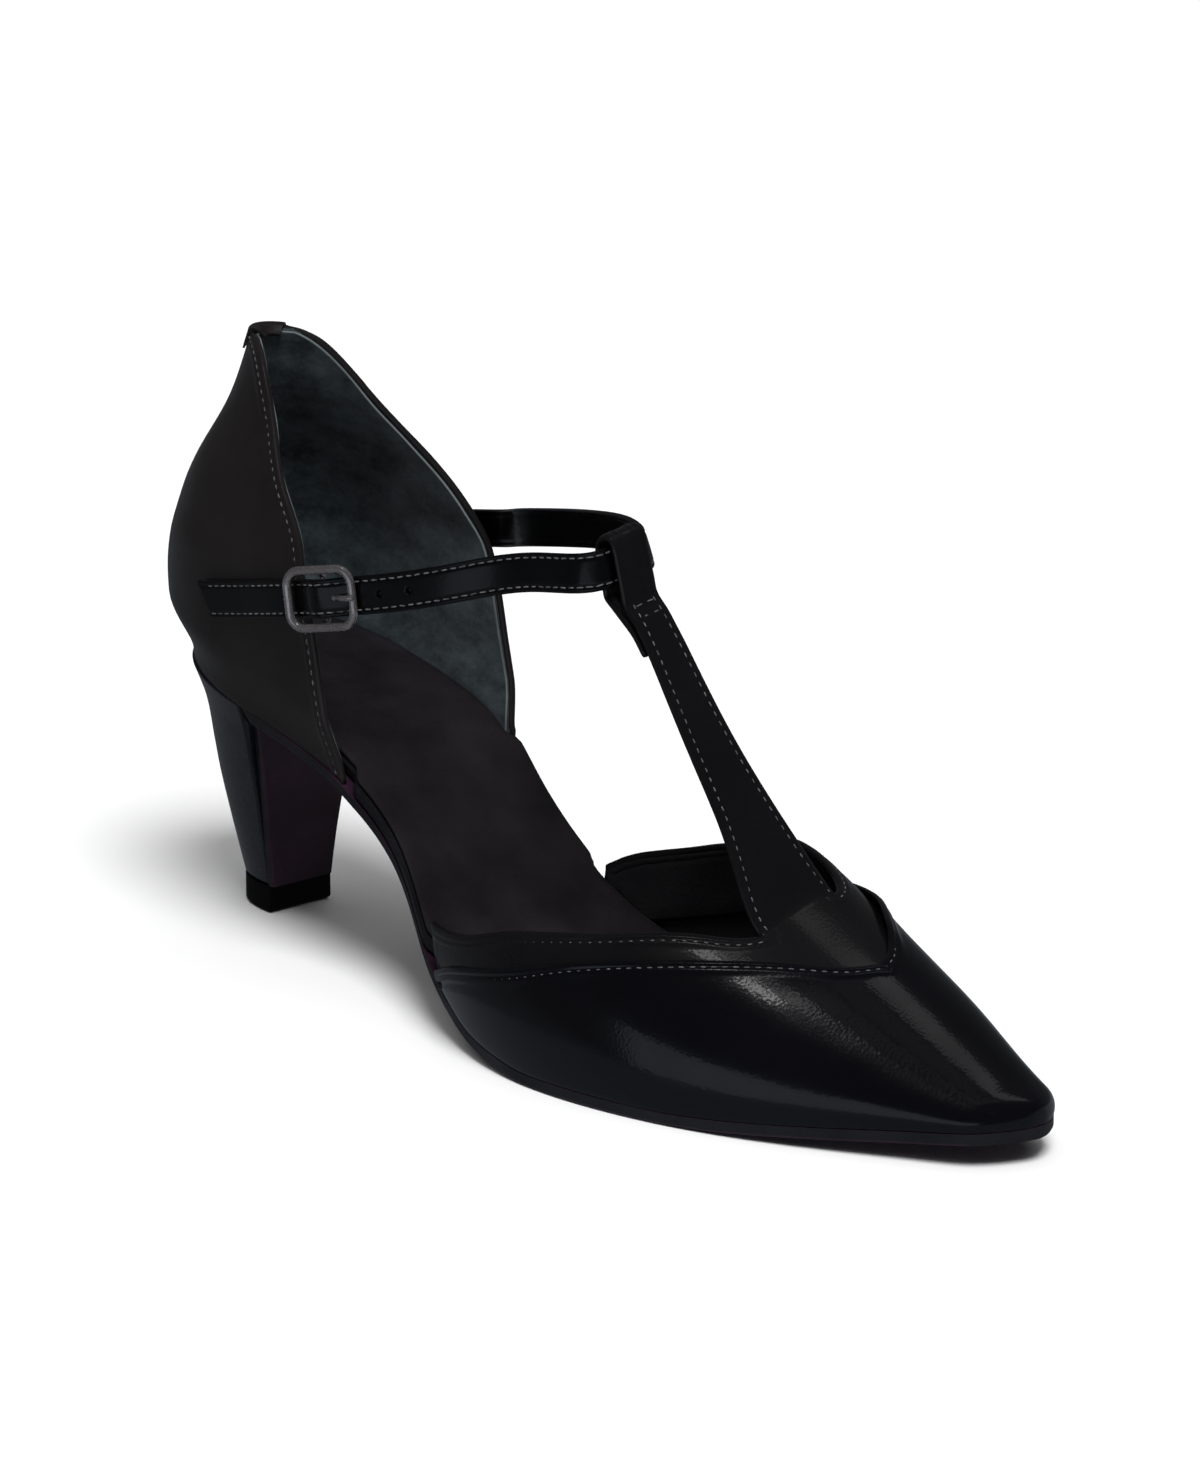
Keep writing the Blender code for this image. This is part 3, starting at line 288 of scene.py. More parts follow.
def forefoot(along, wrap, depth=0.0):
    """A point of the last over the forefoot, depth inside its surface."""
    if np.any(depth):
        nudge = 1e-4
        along_way = forefoot(along + nudge, wrap) - forefoot(along - nudge, wrap)
        wrap_way = forefoot(along, wrap + nudge) - forefoot(along, wrap - nudge)
        outward = np.cross(along_way, wrap_way)
        return forefoot(along, wrap) - depth * unit(outward)
    along = np.clip(np.asarray(along, float), 0, 1)
    wrap = np.asarray(wrap, float)
    angle = (1 - np.abs(wrap)) * math.pi / 2
    foot = feather(along) + GAP
    rise = (ridge_height(along) * POINT_HEIGHT - foot) * (1 - 0.35 * (1 - nose(along)) ** 1.6)
    centre = middle(along)
    ridge = centre + (ridge_shift(along) * BALL_WIDTH - centre) * nose(along)
    side = np.where(wrap < 0, -1.0, 1.0)
    reach = side * (centre - ridge) + half_width(along)
    tuck = tuck_share(along) * BALL_WIDTH * nose(along)
    power = np.where(wrap < 0, lateral_power(along), medial_power(along))
    out = np.maximum(np.cos(angle), 0) ** (2 / power)
    up = np.maximum(np.sin(angle), 0) ** (2 / power)
    y = ridge + side * ((reach + tuck) * out - tuck * (1 - up) ** 3)
    return np.stack([world_x(along) + 0 * y, y, foot + rise * up], axis=-1)


def lengths(points):
    """Distance along a line at each of its points."""
    return np.concatenate([[0], np.cumsum(np.linalg.norm(np.diff(points, axis=0), axis=1))])


def sample(points, run, where):
    """Points of a line at these distances along it."""
    return np.stack([np.interp(where, run, points[:, i]) for i in range(3)], axis=-1)


def even(points, count):
    """The line as count points evenly spaced along it."""
    run = lengths(points)
    return sample(points, run, np.linspace(0, run[-1], count))


def unit(vectors):
    """The vectors at length one."""
    return vectors / np.maximum(np.linalg.norm(vectors, axis=-1, keepdims=True), 1e-12)


def dense(table, count, scale=(SHOE_LENGTH, WRAP_REACH)):
    """The table's curve, as count points evenly spaced along it."""
    rows = np.asarray(table, float)
    run = lengths(rows * scale)
    return natural_curve(run / run[-1], rows)(np.linspace(0, 1, count))


def slab_row(along, top, bottom, half, centre, edge):
    """One cross-section of a flat layer, with its lower edges eased."""
    x = world_x(along)
    low = bottom + edge
    return [
        (x, centre - half, top), (x, centre, top), (x, centre + half, top),
        (x, centre + half, low), (x, centre + half - edge, bottom), (x, centre, bottom),
        (x, centre - half + edge, bottom), (x, centre - half, low),
    ]


def station_list(first, last, count):
    """Stations that close up towards the toe."""
    t = np.linspace(0, 1, count)
    t = np.where(t > 0.5, 1 - (1 - t) ** 1.7 * 0.5**-0.7, t)
    return first + (last - first) * t


def smooth_step(value):
    t = np.clip(value, 0, 1)
    return t * t * (3 - 2 * t)


def wall_room():
    return max(VAMP_WALL, QUARTER_WALL, BAND_STEP + BAND_WALL)


def inset(along, side, waist_inset):
    """How far the board lies inside the feather line: behind a wall, or flush at the waist."""
    walled = wall_room() + 1.3 * GAP - (FOREFOOT_EASE if along > 0.39 else 0)
    front = SEAM_LATERAL[0][0] if side < 0 else SEAM_MEDIAL[-1][0]
    back = FRONT_EDGE[0][1]
    ramp = 0.014
    opens = smooth_step((along - back - 0.003) / ramp)
    shuts = smooth_step((along - front + 0.005 + ramp) / ramp)
    return walled + (waist_inset - walled) * opens * (1 - shuts)


def layer_rows(stations, bottom_rise, thick, waist_inset, extra, edge):
    """Cross-sections of a layer inside the upper, over the feather line."""
    rows = []
    for along in stations:
        centre = middle(along)
        toe = (bottom_rise + thick) * 0.75 * smooth_step((along - 0.80) / 0.16)
        low = centre - half_width(along, inset(along, -1, waist_inset) + extra + toe)
        high = centre + half_width(along, inset(along, 1, waist_inset) + extra + toe)
        bottom = feather(along) + bottom_rise
        eased = min(edge, (high - low) / 4)
        x = world_x(along)
        rows.append([
            (x, low, bottom + eased), (x, low + eased, bottom), (x, (low + high) / 2, bottom),
            (x, high - eased, bottom), (x, high, bottom + eased),
            (x, high, bottom + thick - eased), (x, high - eased, bottom + thick),
            (x, (low + high) / 2, bottom + thick),
            (x, low + eased, bottom + thick), (x, low, bottom + thick - eased),
        ])
    return rows


def breast_x(height):
    """The heel's flat front: it leans forward from the top piece up to the seat."""
    top = feather(BREAST_TOP)
    low = TOP_PIECE_LENGTH / 2
    share = (height - TOP_PIECE_HEIGHT) / (top - TOP_PIECE_HEIGHT)
    return low + (world_x(BREAST_TOP) - low) * share


heel_back = steady_curve(column(HEEL_FORM, 0), column(HEEL_FORM, 1))
lateral_spread = steady_curve(column(HEEL_FORM, 0), column(HEEL_FORM, 2))
medial_spread = steady_curve(column(HEEL_FORM, 0), column(HEEL_FORM, 3))


def heel_sides(share):
    """Where the lateral and medial sides of the heel lie at its breast."""
    low = TOP_PIECE_WIDTH / 2
    spread = half_width(BREAST_TOP) - low
    shift = middle(BREAST_TOP) * share
    return shift - low - spread * lateral_spread(share), shift + low + spread * medial_spread(share)


def heel_ring(share, height_at, count=26):
    """A D-shaped ring: a flat breast and a round back."""
    left, right = heel_sides(share)
    half = (right - left) / 2
    centre = (left + right) / 2
    points = []
    front_low = TOP_PIECE_LENGTH / 2
    front = front_low + (world_x(BREAST_TOP) - front_low) * share
    back = world_x(heel_back(share))
    for i in range(count + 1):
        angle = math.pi * i / count
        x = front - (front - back) * max(math.sin(angle), 0) ** 0.92
        y = centre - half * math.cos(angle)
        points.append((x, y, height_at(x)))
    points.append((front, centre + half / 2, height_at(front)))
    points.append((front, centre, height_at(front)))
    points.append((front, centre - half / 2, height_at(front)))
    return points


def quarter_half(x, z):
    """Half width of the quarter's outer surface."""
    share = z / BACK_HEIGHT
    depth = (share_of(x) - back_line(share)) / QUARTER_ROUND
    round_back = np.sqrt(np.maximum(1 - np.clip(1 - depth, 0, 1) ** 2, 0))
    full = quarter_width(share) * BALL_WIDTH * round_back
    along = share_of(x)
    base = half_width(along)
    height = smooth_step((z - feather(along)) / FEATHER_BLEND)
    low = np.where(base < full, base, full)
    return low + (full - low) * height


def feather_run(count):
    """The feather line from the middle of the back to the quarter's front corner."""
    t = np.linspace(0, 1, 200)
    along = SEAT_BACK + (FRONT_EDGE[0][1] - SEAT_BACK) * t**2
    points = np.stack([world_x(along), half_width(along), feather(along) + GAP], axis=-1)
    return even(points, count)


def topline_run(count):
    """The quarter's top edge from the middle of the back down to the front corner."""
    table = [(along, share) for share, along in FRONT_EDGE[::-1]]
    line = dense(table, 300, scale=(SHOE_LENGTH, BACK_HEIGHT))
    line = line[line[:, 1] > EDGE_CORNER]
    x = world_x(line[:, 0])
    z = line[:, 1] * BACK_HEIGHT
    points = np.stack([x, quarter_half(x, z), z], axis=-1)
    return even(points, count)


def quarter_point(low, high, level, frontness):
    """A point of the outer surface between a feather point and a topline point."""
    z = low[2] + (high[2] - low[2]) * level
    start = low[0] - world_x(back_line(low[2] / BACK_HEIGHT))
    end = high[0] - world_x(back_line(high[2] / BACK_HEIGHT))
    curved = world_x(back_line(z / BACK_HEIGHT)) + start + (end - start) * level
    straight = low[0] + (high[0] - low[0]) * level
    x = curved + (straight - curved) * smooth_step(frontness * 1.3)
    if level == 0:
        return x, low[1], z
    return x, float(quarter_half(x, z)), z


def back_point(y, z):
    """A point of the quarter's outer back at this distance from its middle, and its outward normal."""

    def at(y, z):
        start = world_x(back_line(z / BACK_HEIGHT))
        x = start + np.linspace(0, BACK_SEARCH, 400)
        return np.array([np.interp(abs(y), quarter_half(x, z), x), y, z])

    nudge = 0.3 * MM
    up = at(y, z + nudge) - at(y, z - nudge)
    side = at(y + nudge, z) - at(y - nudge, z)
    normal = unit(np.cross(up, side))
    return at(y, z), normal if normal[0] < 0 else -normal


def offset_line(points, distance):
    """Moves a line of (along, wrap) points sideways, towards the toe."""
    scale = np.array([SHOE_LENGTH, WRAP_REACH])
    flat = points * scale
    way = np.gradient(flat, axis=0)
    side = unit(np.stack([way[:, 1], -way[:, 0]], axis=-1))
    side *= np.where(side[:, :1] < 0, -1, 1)
    return (flat + side * distance) / scale


@functools.lru_cache(maxsize=None)
def t_frames():
    """Front-face stations of the T-strap: x, z, half width, roll, from base to fold."""
    run = [row[1] for row in T_STRAP]
    along = natural_curve(run, column(T_STRAP, 0))
    half = natural_curve(run, column(T_STRAP, 2))
    roll = natural_curve(run, column(T_STRAP, 3))
    shares = np.linspace(run[0], run[-1], 18)
    return [(world_x(along(s)), s * BACK_HEIGHT, half(s) * BALL_WIDTH, math.radians(roll(s)))
            for s in shares]


def loop_climb():
    return STRAP_WIDTH + 3.5 * LOOP_ROOM


def loop_way():
    """Direction up the loop and outward from its front face, as (x, z)."""
    lean = math.radians(LOOP_LEAN)
    return np.array([-math.sin(lean), math.cos(lean)]), np.array([math.cos(lean), math.sin(lean)])


def fold_line():
    """The loop at the top of the T and its turned-back end, as (x, z) on the outer face."""
    frames = np.array([row[:2] for row in t_frames()])
    end = frames[-1]
    way, normal = loop_way()
    radius = STRAP_THICK / 2 + LOOP_ROOM + BAND_WALL
    climb = loop_climb()
    points = [end + way * step for step in np.linspace(0, climb, 6)[1:]]
    centre = points[-1] - normal * radius
    for angle in np.linspace(0, math.pi, 9)[1:]:
        points.append(centre + radius * (normal * math.cos(angle) + way * math.sin(angle)))
    for step in np.linspace(0, climb - 1.5 * MM, 5)[1:]:
        points.append(centre - normal * radius - way * step)
    run = lengths(frames[::-1])
    under = 2 * BAND_WALL + GAP
    base = points[-1]
    for share in np.linspace(0, 1, 8)[1:]:
        at = [np.interp(TURNED_END * share + d, run, frames[::-1, i]) for d in (0, MM) for i in (0, 1)]
        down = np.array([at[2] - at[0], at[3] - at[1]]) / MM
        behind = np.array([down[1], -down[0]])
        target = np.array(at[:2]) + behind * under
        points.append(target + (base - end - behind * under) * (1 - smooth_step(share * 1.6)))
    return points


@functools.lru_cache(maxsize=None)
def loop_rows():
    """The ankle strap's stations where it lies flat in the T's loop."""
    way, normal = loop_way()
    x, z, half, roll = t_frames()[-1]
    into = BAND_WALL + LOOP_ROOM + STRAP_THICK / 2
    centre = np.array([x, z]) + way * (loop_climb() + LOOP_ROOM - STRAP_WIDTH / 2) - normal * into
    rows = []
    for share in (-1.25, -0.85, -0.4, 0.0, 0.4, 0.85, 1.25):
        y = share * half
        rows.append((centre[0], T_SHIFT * BALL_WIDTH + y, centre[1] + y * math.sin(roll), LOOP_LEAN))
    return rows


@functools.lru_cache(maxsize=None)
def ankle_frames():
    """Centre, lean and raise along the strap, with its laps on the quarter's outside."""
    stand_off = GAP + STRAP_THICK / 2
    shift = QUARTER_SHIFT * BALL_WIDTH
    rows = []
    for along, height in LATERAL_LAP:
        z = height * BACK_HEIGHT
        x = float(world_x(along))
        rows.append((x, shift - float(quarter_half(x, z)) - stand_off, z, 0))
    for along, y, height, lean in ANKLE_FRONT:
        rows.append((float(world_x(along)), y * BALL_WIDTH, height * BACK_HEIGHT, lean))
    rows.extend(loop_rows())
    for along, y, height, lean in ANKLE_BACK:
        rows.append((float(world_x(along)), y * BALL_WIDTH, height * BACK_HEIGHT, lean))
    for along, height in MEDIAL_LAP:
        z = height * BACK_HEIGHT
        x = float(world_x(along))
        rows.append((x, shift + float(quarter_half(x, z)) + stand_off + GAP, z, 0))
    rows = np.array(rows)
    run = lengths(rows[:, :3])
    curves = [natural_curve(run, rows[:, i]) for i in range(4)]
    return run, curves


def ankle_point(s):
    """Centre, direction along, width direction and outward normal at distance s."""
    run, curves = ankle_frames()
    centre = np.array([float(c(s)) for c in curves[:3]])
    ahead = np.array([float(c(s + 0.3 * MM)) for c in curves[:3]])
    behind = np.array([float(c(s - 0.3 * MM)) for c in curves[:3]])
    way = unit(ahead - behind)
    outward = unit(np.cross(way, (0, 0, 1.0)))
    up = np.cross(outward, way)
    lean = math.radians(float(curves[3](s)))
    normal = outward * math.cos(lean) + up * math.sin(lean)
    width = up * math.cos(lean) - outward * math.sin(lean)
    return centre, way, width, normal


@functools.lru_cache(maxsize=None)
def buckle_place():
    """Distance along the strap of the buckle's middle."""
    run, _ = ankle_frames()
    return run[2] + BUCKLE_LENGTH / 2 - 0.5 * MM


def strap_raise(s):
    """The strap rides over the buckle's centre bar."""
    t = abs(s - buckle_place()) / (BUCKLE_LENGTH * 0.36)
    return (BUCKLE_WIRE + 0.4 * MM) * (1 - smooth_step(t))


# Sizes that only the looks need
STRAP_EASE = 0.5 * MM
HOLE_RADIUS = 0.45 * MM
TAB_NEAR = 0.15 * MM
TAB_LEATHER = 0.5 * MM
QUARTER_LEATHER = 1.4 * MM
BUCKLE_CORNER = 3.2 * MM
SOLE_EDGE = 0.5 * MM
SOLE_FILLET = 4 * MM
STITCH_SINK = -0.10 * MM
LEATHER = 0.9 * MM
LINING = 0.5 * MM
# Distances from a free edge, in mm, of the grid lines that carry its fold and stitch groove
EDGE_STEPS = [0, 0.3, 0.6, 0.9, 1.2, 1.5, 1.8, 2.1, 2.4, 2.8, 3.3, 4.0, 5.0]
UNDERLAP = 3.0 * MM
STITCH_PITCH = 2.1 * MM
STITCH_LONG = 1.55 * MM
THREAD = 0.32 * MM
VAMP_STITCH_IN = 1.3 * MM
BAND_STITCH_IN = 1.2 * MM
STRAP_STITCH_IN = 1.05 * MM
QUARTER_STITCH_IN = 1.4 * MM


def distinct(points, quads):
    """Welds points at the same place and drops what collapses."""
    points = np.asarray(points, float)
    key = np.round(points / (4e-6)).astype(np.int64)
    _, first, index = np.unique(key, axis=0, return_index=True, return_inverse=True)
    index = index.reshape(-1)
    kept = []
    for quad in quads:
        ring = []
        for corner in quad:
            now = int(index[corner])
            if now not in ring:
                ring.append(now)
        if len(ring) > 2:
            kept.append(ring)
    return points[first], kept


def grid_faces(count, size, start=0, ring=False):
    faces = []
    for i in range(count - 1):
        for j in range(size if ring else size - 1):
            k = (j + 1) % size
            faces.append([start + i * size + j, start + i * size + k,
                          start + (i + 1) * size + k, start + (i + 1) * size + j])
    return faces


def patches(grids, more=()):
    """Points and faces of several grids welded where they share points."""
    points, faces = [], []
    for grid in grids:
        grid = np.asarray(grid, float)
        faces += grid_faces(grid.shape[0], grid.shape[1], len(points))
        points.extend(grid.reshape(-1, 3))
    faces += [list(face) for face in more]
    return distinct(points, faces)


def normals_of(points, faces):
    total = np.zeros_like(points)
    for size in (3, 4):
        some = np.array([face for face in faces if len(face) == size])
        if not len(some):
            continue
        across = points[some[:, 2]] - points[some[:, 0]]
        other = points[some[:, 3 % size]] - points[some[:, 1]]
        normal = np.cross(across, other)
        for corner in range(size):
            np.add.at(total, some[:, corner], normal)
    return unit(total)


def facing(points, faces, hint):
    """Turns the faces so that the one furthest along the hint looks that way."""
    normals = normals_of(points, faces)
    far = int(np.argmax(points @ np.asarray(hint, float)))
    if normals[far] @ np.asarray(hint, float) < 0:
        return [face[::-1] for face in faces]
    return faces


def border_of(faces):
    """Directed edges that have a face on one side only."""
    edges = {(a, b) for face in faces for a, b in zip(face, face[1:] + face[:1])}
    return [(a, b) for a, b in edges if (b, a) not in edges]


def edge_distance(points, border, kept):
    """Distance of each point from the border edges whose middle passes the test."""
    samples = []
    for a, b in border:
        if kept((points[a] + points[b]) / 2):
            samples.extend(points[a] + (points[b] - points[a]) * t for t in (0, 0.5))
    tree = KDTree(len(samples))
    for i, point in enumerate(samples):
        tree.insert(point, i)
    tree.balance()
    return np.array([tree.find(point)[2] for point in points])


def fold_relief(distance, stitch_in):
    """Rise of leather that is turned over at its edge and stitched: a soft roll and a shallow groove."""
    turned = 0.16 * MM * (1 - smooth_step((distance - stitch_in * 1.5) / (1.2 * MM)))
    groove = 0.20 * MM * np.exp(-((distance - stitch_in) / (0.42 * MM)) ** 2)
    drop = 0.22 * MM * (1 - smooth_step(distance / (0.8 * MM)))
    return turned - groove - drop


def thicken(points, faces, wall, steps=5):
    """A closed body of the outer surface, a round rim and the inner one, with kinds 0, 1 and 2."""
    normals = normals_of(points, faces)
    count = len(points)
    border = border_of(faces)
    out = np.zeros_like(points)
    for a, b in border:
        side = unit(np.cross(points[b] - points[a], normals[a] + normals[b]))
        out[a] += side
        out[b] += side
    on_border = sorted({a for edge in border for a in edge})
    place = {v: i for i, v in enumerate(on_border)}
    rim = normals[on_border]
    flat = unit(out[on_border] - rim * np.sum(out[on_border] * rim, 1, keepdims=True))
    centre = points[on_border] - rim * wall / 2
    everything = [points, points - normals * wall]
    for k in range(1, steps):
        angle = math.pi * k / steps
        everything.append(centre + (rim * math.cos(angle) + flat * math.sin(angle)) * wall / 2)
    made = list(faces)
    kinds = [0] * len(faces)
    made += [[v + count for v in face[::-1]] for face in faces]
    kinds += [2] * len(faces)
    size = len(on_border)

    def level(v, k):
        if k == 0:
            return v
        if k == steps:
            return v + count
        return 2 * count + (k - 1) * size + place[v]

    for a, b in border:
        for k in range(steps):
            made.append([level(b, k), level(a, k), level(a, k + 1), level(b, k + 1)])
            kinds.append(1)
    return np.concatenate(everything), made, kinds


def mesh_object(name, points, faces, materials, kinds=None, node=None):
    """A smooth object that rides on the shoe, and stands for a node where one is named."""
    mesh = bpy.data.meshes.new(name)
    mesh.from_pydata([tuple(p) for p in points], [], [list(f) for f in faces])
    mesh.validate()
    mesh.shade_smooth()
    obj = bpy.data.objects.new(name, mesh)
    for item in materials:
        mesh.materials.append(item)
    if kinds is not None and len(mesh.polygons) == len(kinds):
        mesh.polygons.foreach_set("material_index", kinds)
    bpy.context.scene.collection.objects.link(obj)
    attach(obj, "root")
    if node:
        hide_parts(node)
    return obj


def bevel(obj, width, segments=3):
    """Rounds the object's sharp edges."""
    made = obj.modifiers.new("soft edges", "BEVEL")
    made.width = width
    made.segments = segments
    made.limit_method = "ANGLE"
    made.angle_limit = math.radians(38)
    made.harden_normals = True
    return obj


def capped(rows):
    """Points and faces of a row of rings, closed at both ends."""
    size = rows.shape[1]
    faces = grid_faces(len(rows), size, ring=True)
    last = (len(rows) - 1) * size
    faces.append(list(range(size))[::-1])
    faces.append([last + j for j in range(size)])
    return rows.reshape(-1, 3), faces


def capped_object(name, rows, hint, material, node):
    """An object from a row of rings, closed at both ends."""
    points, faces = capped(rows)
    return mesh_object(name, points, facing(points, faces, hint), [material], None, node)


def wave(x, y, seed, scale):
    """A smooth uneven field between about -1 and 1, made of a few crossed waves."""
    rng = np.random.default_rng(seed)
    total = 0
    for _ in range(7):
        turn, phase = rng.uniform(0, 2 * math.pi, 2)
        pace = rng.uniform(0.6, 1.6) * 2 * math.pi / scale
        total = total + np.sin((x * math.cos(turn) + y * math.sin(turn)) * pace + phase)
    return total / 3.5


def last_normal(along, wrap):
    """Outward direction of the last's surface."""
    nudge = 2e-4
    low = np.clip(wrap, -0.998, 0.998)
    along_way = forefoot(along + nudge, low) - forefoot(along - nudge, low)
    wrap_way = forefoot(along, low + nudge) - forefoot(along, low - nudge)
    return unit(np.cross(along_way, wrap_way))


# Small creases in the vamp where the foot bends
CREASES = [  # along, wrap, length mm, turn in degrees from across the foot, depth mm, half width mm
    (0.735, -0.630, 8, 62, 0.09, 0.8), (0.748, -0.600, 6, 55, 0.07, 0.7),
    (0.722, -0.655, 6, 66, 0.06, 0.7), (0.700, 0.640, 10, -20, 0.10, 1.5),
    (0.675, 0.700, 9, -26, 0.09, 1.3),
]


def vamp_relief(along, wrap):
    """Outward rise of the vamp's surface: slow unevenness and the creases."""
    x = along * SHOE_LENGTH
    y = wrap * WRAP_REACH
    rise = 0.035 * MM * wave(x, y, 3, 0.034) + 0.006 * MM * wave(x, y, 5, 0.013)
    for a, w, long, turn, depth, half in CREASES:
        dx = x - a * SHOE_LENGTH
        dy = y - w * WRAP_REACH
        c, s = math.cos(math.radians(turn)), math.sin(math.radians(turn))
        run = (dy * c + dx * s) / (long * MM / 2)
        off = (dx * c - dy * s) / (half * MM)
        hill = np.exp(-((off - 1.6) ** 2)) + np.exp(-((off + 1.6) ** 2))
        rise = rise + depth * MM * np.exp(-run**2) * (0.5 * hill - np.exp(-off**2))
    return rise


def make_vamp(leather, lining):
    """The vamp from its V-shaped edge to the toe, with a raised lip beside the T's foot."""
    lateral = offset_line(dense(SEAM_LATERAL, 240), 1.5 * GAP)
    medial = offset_line(dense(SEAM_MEDIAL, 240), 1.5 * GAP)
    point = SEAM_LATERAL[-1][1]
    lateral = lateral[lateral[:, 1] < point]
    medial = medial[medial[:, 1] > point]
    tip_along = SEAM_LATERAL[-1][0] + 3 * GAP / SHOE_LENGTH
    edge_wrap = np.concatenate([lateral[:, 1], [point], medial[:, 1]])
    edge_along = np.concatenate([lateral[:, 0], [tip_along], medial[:, 0]])
    order = np.argsort(edge_wrap)
    half = np.concatenate([np.linspace(0, 0.3, 24), np.linspace(0.3, 1, 56)[1:]])
    wraps = np.concatenate([-half[:0:-1], half])
    starts = np.interp(wraps, edge_wrap[order], edge_along[order])
    last = TOE_END - 0.15 * MM / SHOE_LENGTH
    near = np.array(EDGE_STEPS) * MM / SHOE_LENGTH
    far = 1 - (1 - np.linspace(0, 1, 71)[1:]) ** 1.4
    along = [starts + step for step in near]
    along += [starts + near[-1] + (last - starts - near[-1]) * t for t in far]
    along = np.array(along)
    wrap = np.broadcast_to(wraps, along.shape)
    skin = forefoot(along, wrap)
    normal = last_normal(along, wrap)
    rise = vamp_relief(along, wrap) * nose(along)
    mm_in = (along - starts) * SHOE_LENGTH / MM
    lip = smooth_step((wrap - 0.05) / 0.12) * (1 - smooth_step((wrap - 0.34) / 0.22))
    rise = rise + 0.9 * MM * lip * (1 - smooth_step(mm_in / 6))
    skin = skin + normal * rise[..., None]
    size = len(wraps)
    top = (len(along) - 1) * size
    closing = []
    for j in range(size // 2):
        face = [top + j, top + j + 1, top + size - 2 - j, top + size - 1 - j]
        closing.append(face if j + 1 < size - 2 - j else face[:2] + face[3:])
    points, faces = patches([skin], closing)
    faces = facing(points, faces, (0.2, 0, 1))
    border = border_of(faces)
    distance = edge_distance(points, border, lambda p: above_feather(p) > 1.2 * MM)
    normals = normals_of(points, faces)
    points = points + normals * fold_relief(distance, VAMP_STITCH_IN)[:, None]
    points, faces, kinds = thicken(points, faces, LEATHER)
    mesh_object("upper_vamp_leather", points, faces, [leather, leather, lining], kinds,
                "upper_vamp")


@functools.lru_cache(maxsize=None)
def quarter_edge():
    """The quarter's free edge in the side view, from the front corner up to the back: x and z."""
    table = [(along, share) for share, along in FRONT_EDGE[::-1]]
    line = dense(table, 400, scale=(SHOE_LENGTH, BACK_HEIGHT))
    line = line[line[:, 1] > EDGE_CORNER][::-1]
    corner = np.array([[FRONT_EDGE[0][1], FRONT_EDGE[0][0]]])
    line = np.concatenate([corner, line])
    return world_x(line[:, 0]), line[:, 1] * BACK_HEIGHT


def front_x(z):
    """Where the quarter's free edge lies at this height."""
    x, height = quarter_edge()
    order = np.argsort(height)
    return np.interp(z, height[order], x[order])


def quarter_grid(inside=0.0):
    """Outer surface of the quarter: rows from the lateral edge round the back to the medial edge."""
    edge_x, edge_z = quarter_edge()
    seat_x = np.linspace(world_x(SEAT_BACK), edge_x[0] - inside, 400)
    seat_z = feather(share_of(seat_x)) + GAP
    back = world_x(back_line(seat_z / BACK_HEIGHT))
    reach = front_x(seat_z) - inside - back
    seat_share = np.maximum.accumulate(np.clip((seat_x - back) / reach, 0, 1))
    border = EDGE_STEPS[-1] * MM
    steps = np.array(EDGE_STEPS[:-1][::-1]) * MM
    even_share = np.linspace(0, 1, 60) ** 1.7
    count = len(even_share)
    shares = np.concatenate([even_share * (1 - border / reach[-1]), 1 - steps / reach[-1]])
    low_z = np.interp(shares, seat_share, seat_z)
    top = BACK_HEIGHT - inside
    levels = np.concatenate([np.linspace(0, 0.86, 70)[:-1], np.linspace(0.86, 1, 46)])
    rows = []
    for level in levels:
        z = low_z + (top - low_z) * level
        start = world_x(back_line(z / BACK_HEIGHT))
        end = front_x(z) - inside
        wide = np.maximum(end - start, 0)
        near = border * np.minimum(1, wide / (16 * MM))
        x = np.empty_like(z)
        x[:count] = start[:count] + (wide - near)[:count] * even_share
        x[count:] = end[count:] - steps * near[count:] / border
        y = quarter_half(x, z)
        shift = QUARTER_SHIFT * BALL_WIDTH
        medial = np.stack([x, shift + y, z], axis=-1)
        lateral = np.stack([x, shift - y, z], axis=-1)
        rows.append(np.concatenate([lateral[:0:-1], medial]))
    return np.array(rows)


def above_feather(point):
    """Height of a point above the feather line."""
    return point[2] - feather(share_of(point[0]))


def make_quarter(leather, lining, raw_edge):
    """The quarter's leather with its turned edge, and the lining inside it."""
    points, faces = patches([quarter_grid()])
    faces = facing(points, faces, (-1, 0, 0))
    border = border_of(faces)
    distance = edge_distance(points, border, lambda p: above_feather(p) >= 1.5 * MM)
    uneven = 0.05 * MM * wave(points[:, 0] + points[:, 1], points[:, 2], 8, 0.028)
    relief = fold_relief(distance, QUARTER_STITCH_IN) + uneven
    solid = thicken(points + normals_of(points, faces) * relief[:, None], faces, QUARTER_LEATHER)
    mesh_object("upper_quarter_leather", solid[0], solid[1], [leather, leather, lining], solid[2],
                "upper_quarter")
    points, faces = patches([quarter_grid(0.8 * MM)])
    faces = facing(points, faces, (-1, 0, 0))
    sunk = QUARTER_LEATHER + 0.05 * MM + 0.12 * MM * wave(points[:, 0] * 1.3, points[:, 2], 12, 0.022)
    solid = thicken(points - normals_of(points, faces) * sunk[:, None], faces, LINING, 3)
    mesh_object("quarter_lining", solid[0], solid[1], [lining, raw_edge, lining], solid[2])


def band_lines():
    """The seam line and its underlap, and the toplines, split at the T's foot."""
    count = 170
    lateral = dense(SEAM_LATERAL, count)
    medial = dense(SEAM_MEDIAL, count)
    seam = np.concatenate([lateral, medial[1:]])
    under = offset_line(seam, UNDERLAP)
    first = int(count * 0.90)
    second = count + int(count * 0.10)
    return seam, under, first, second


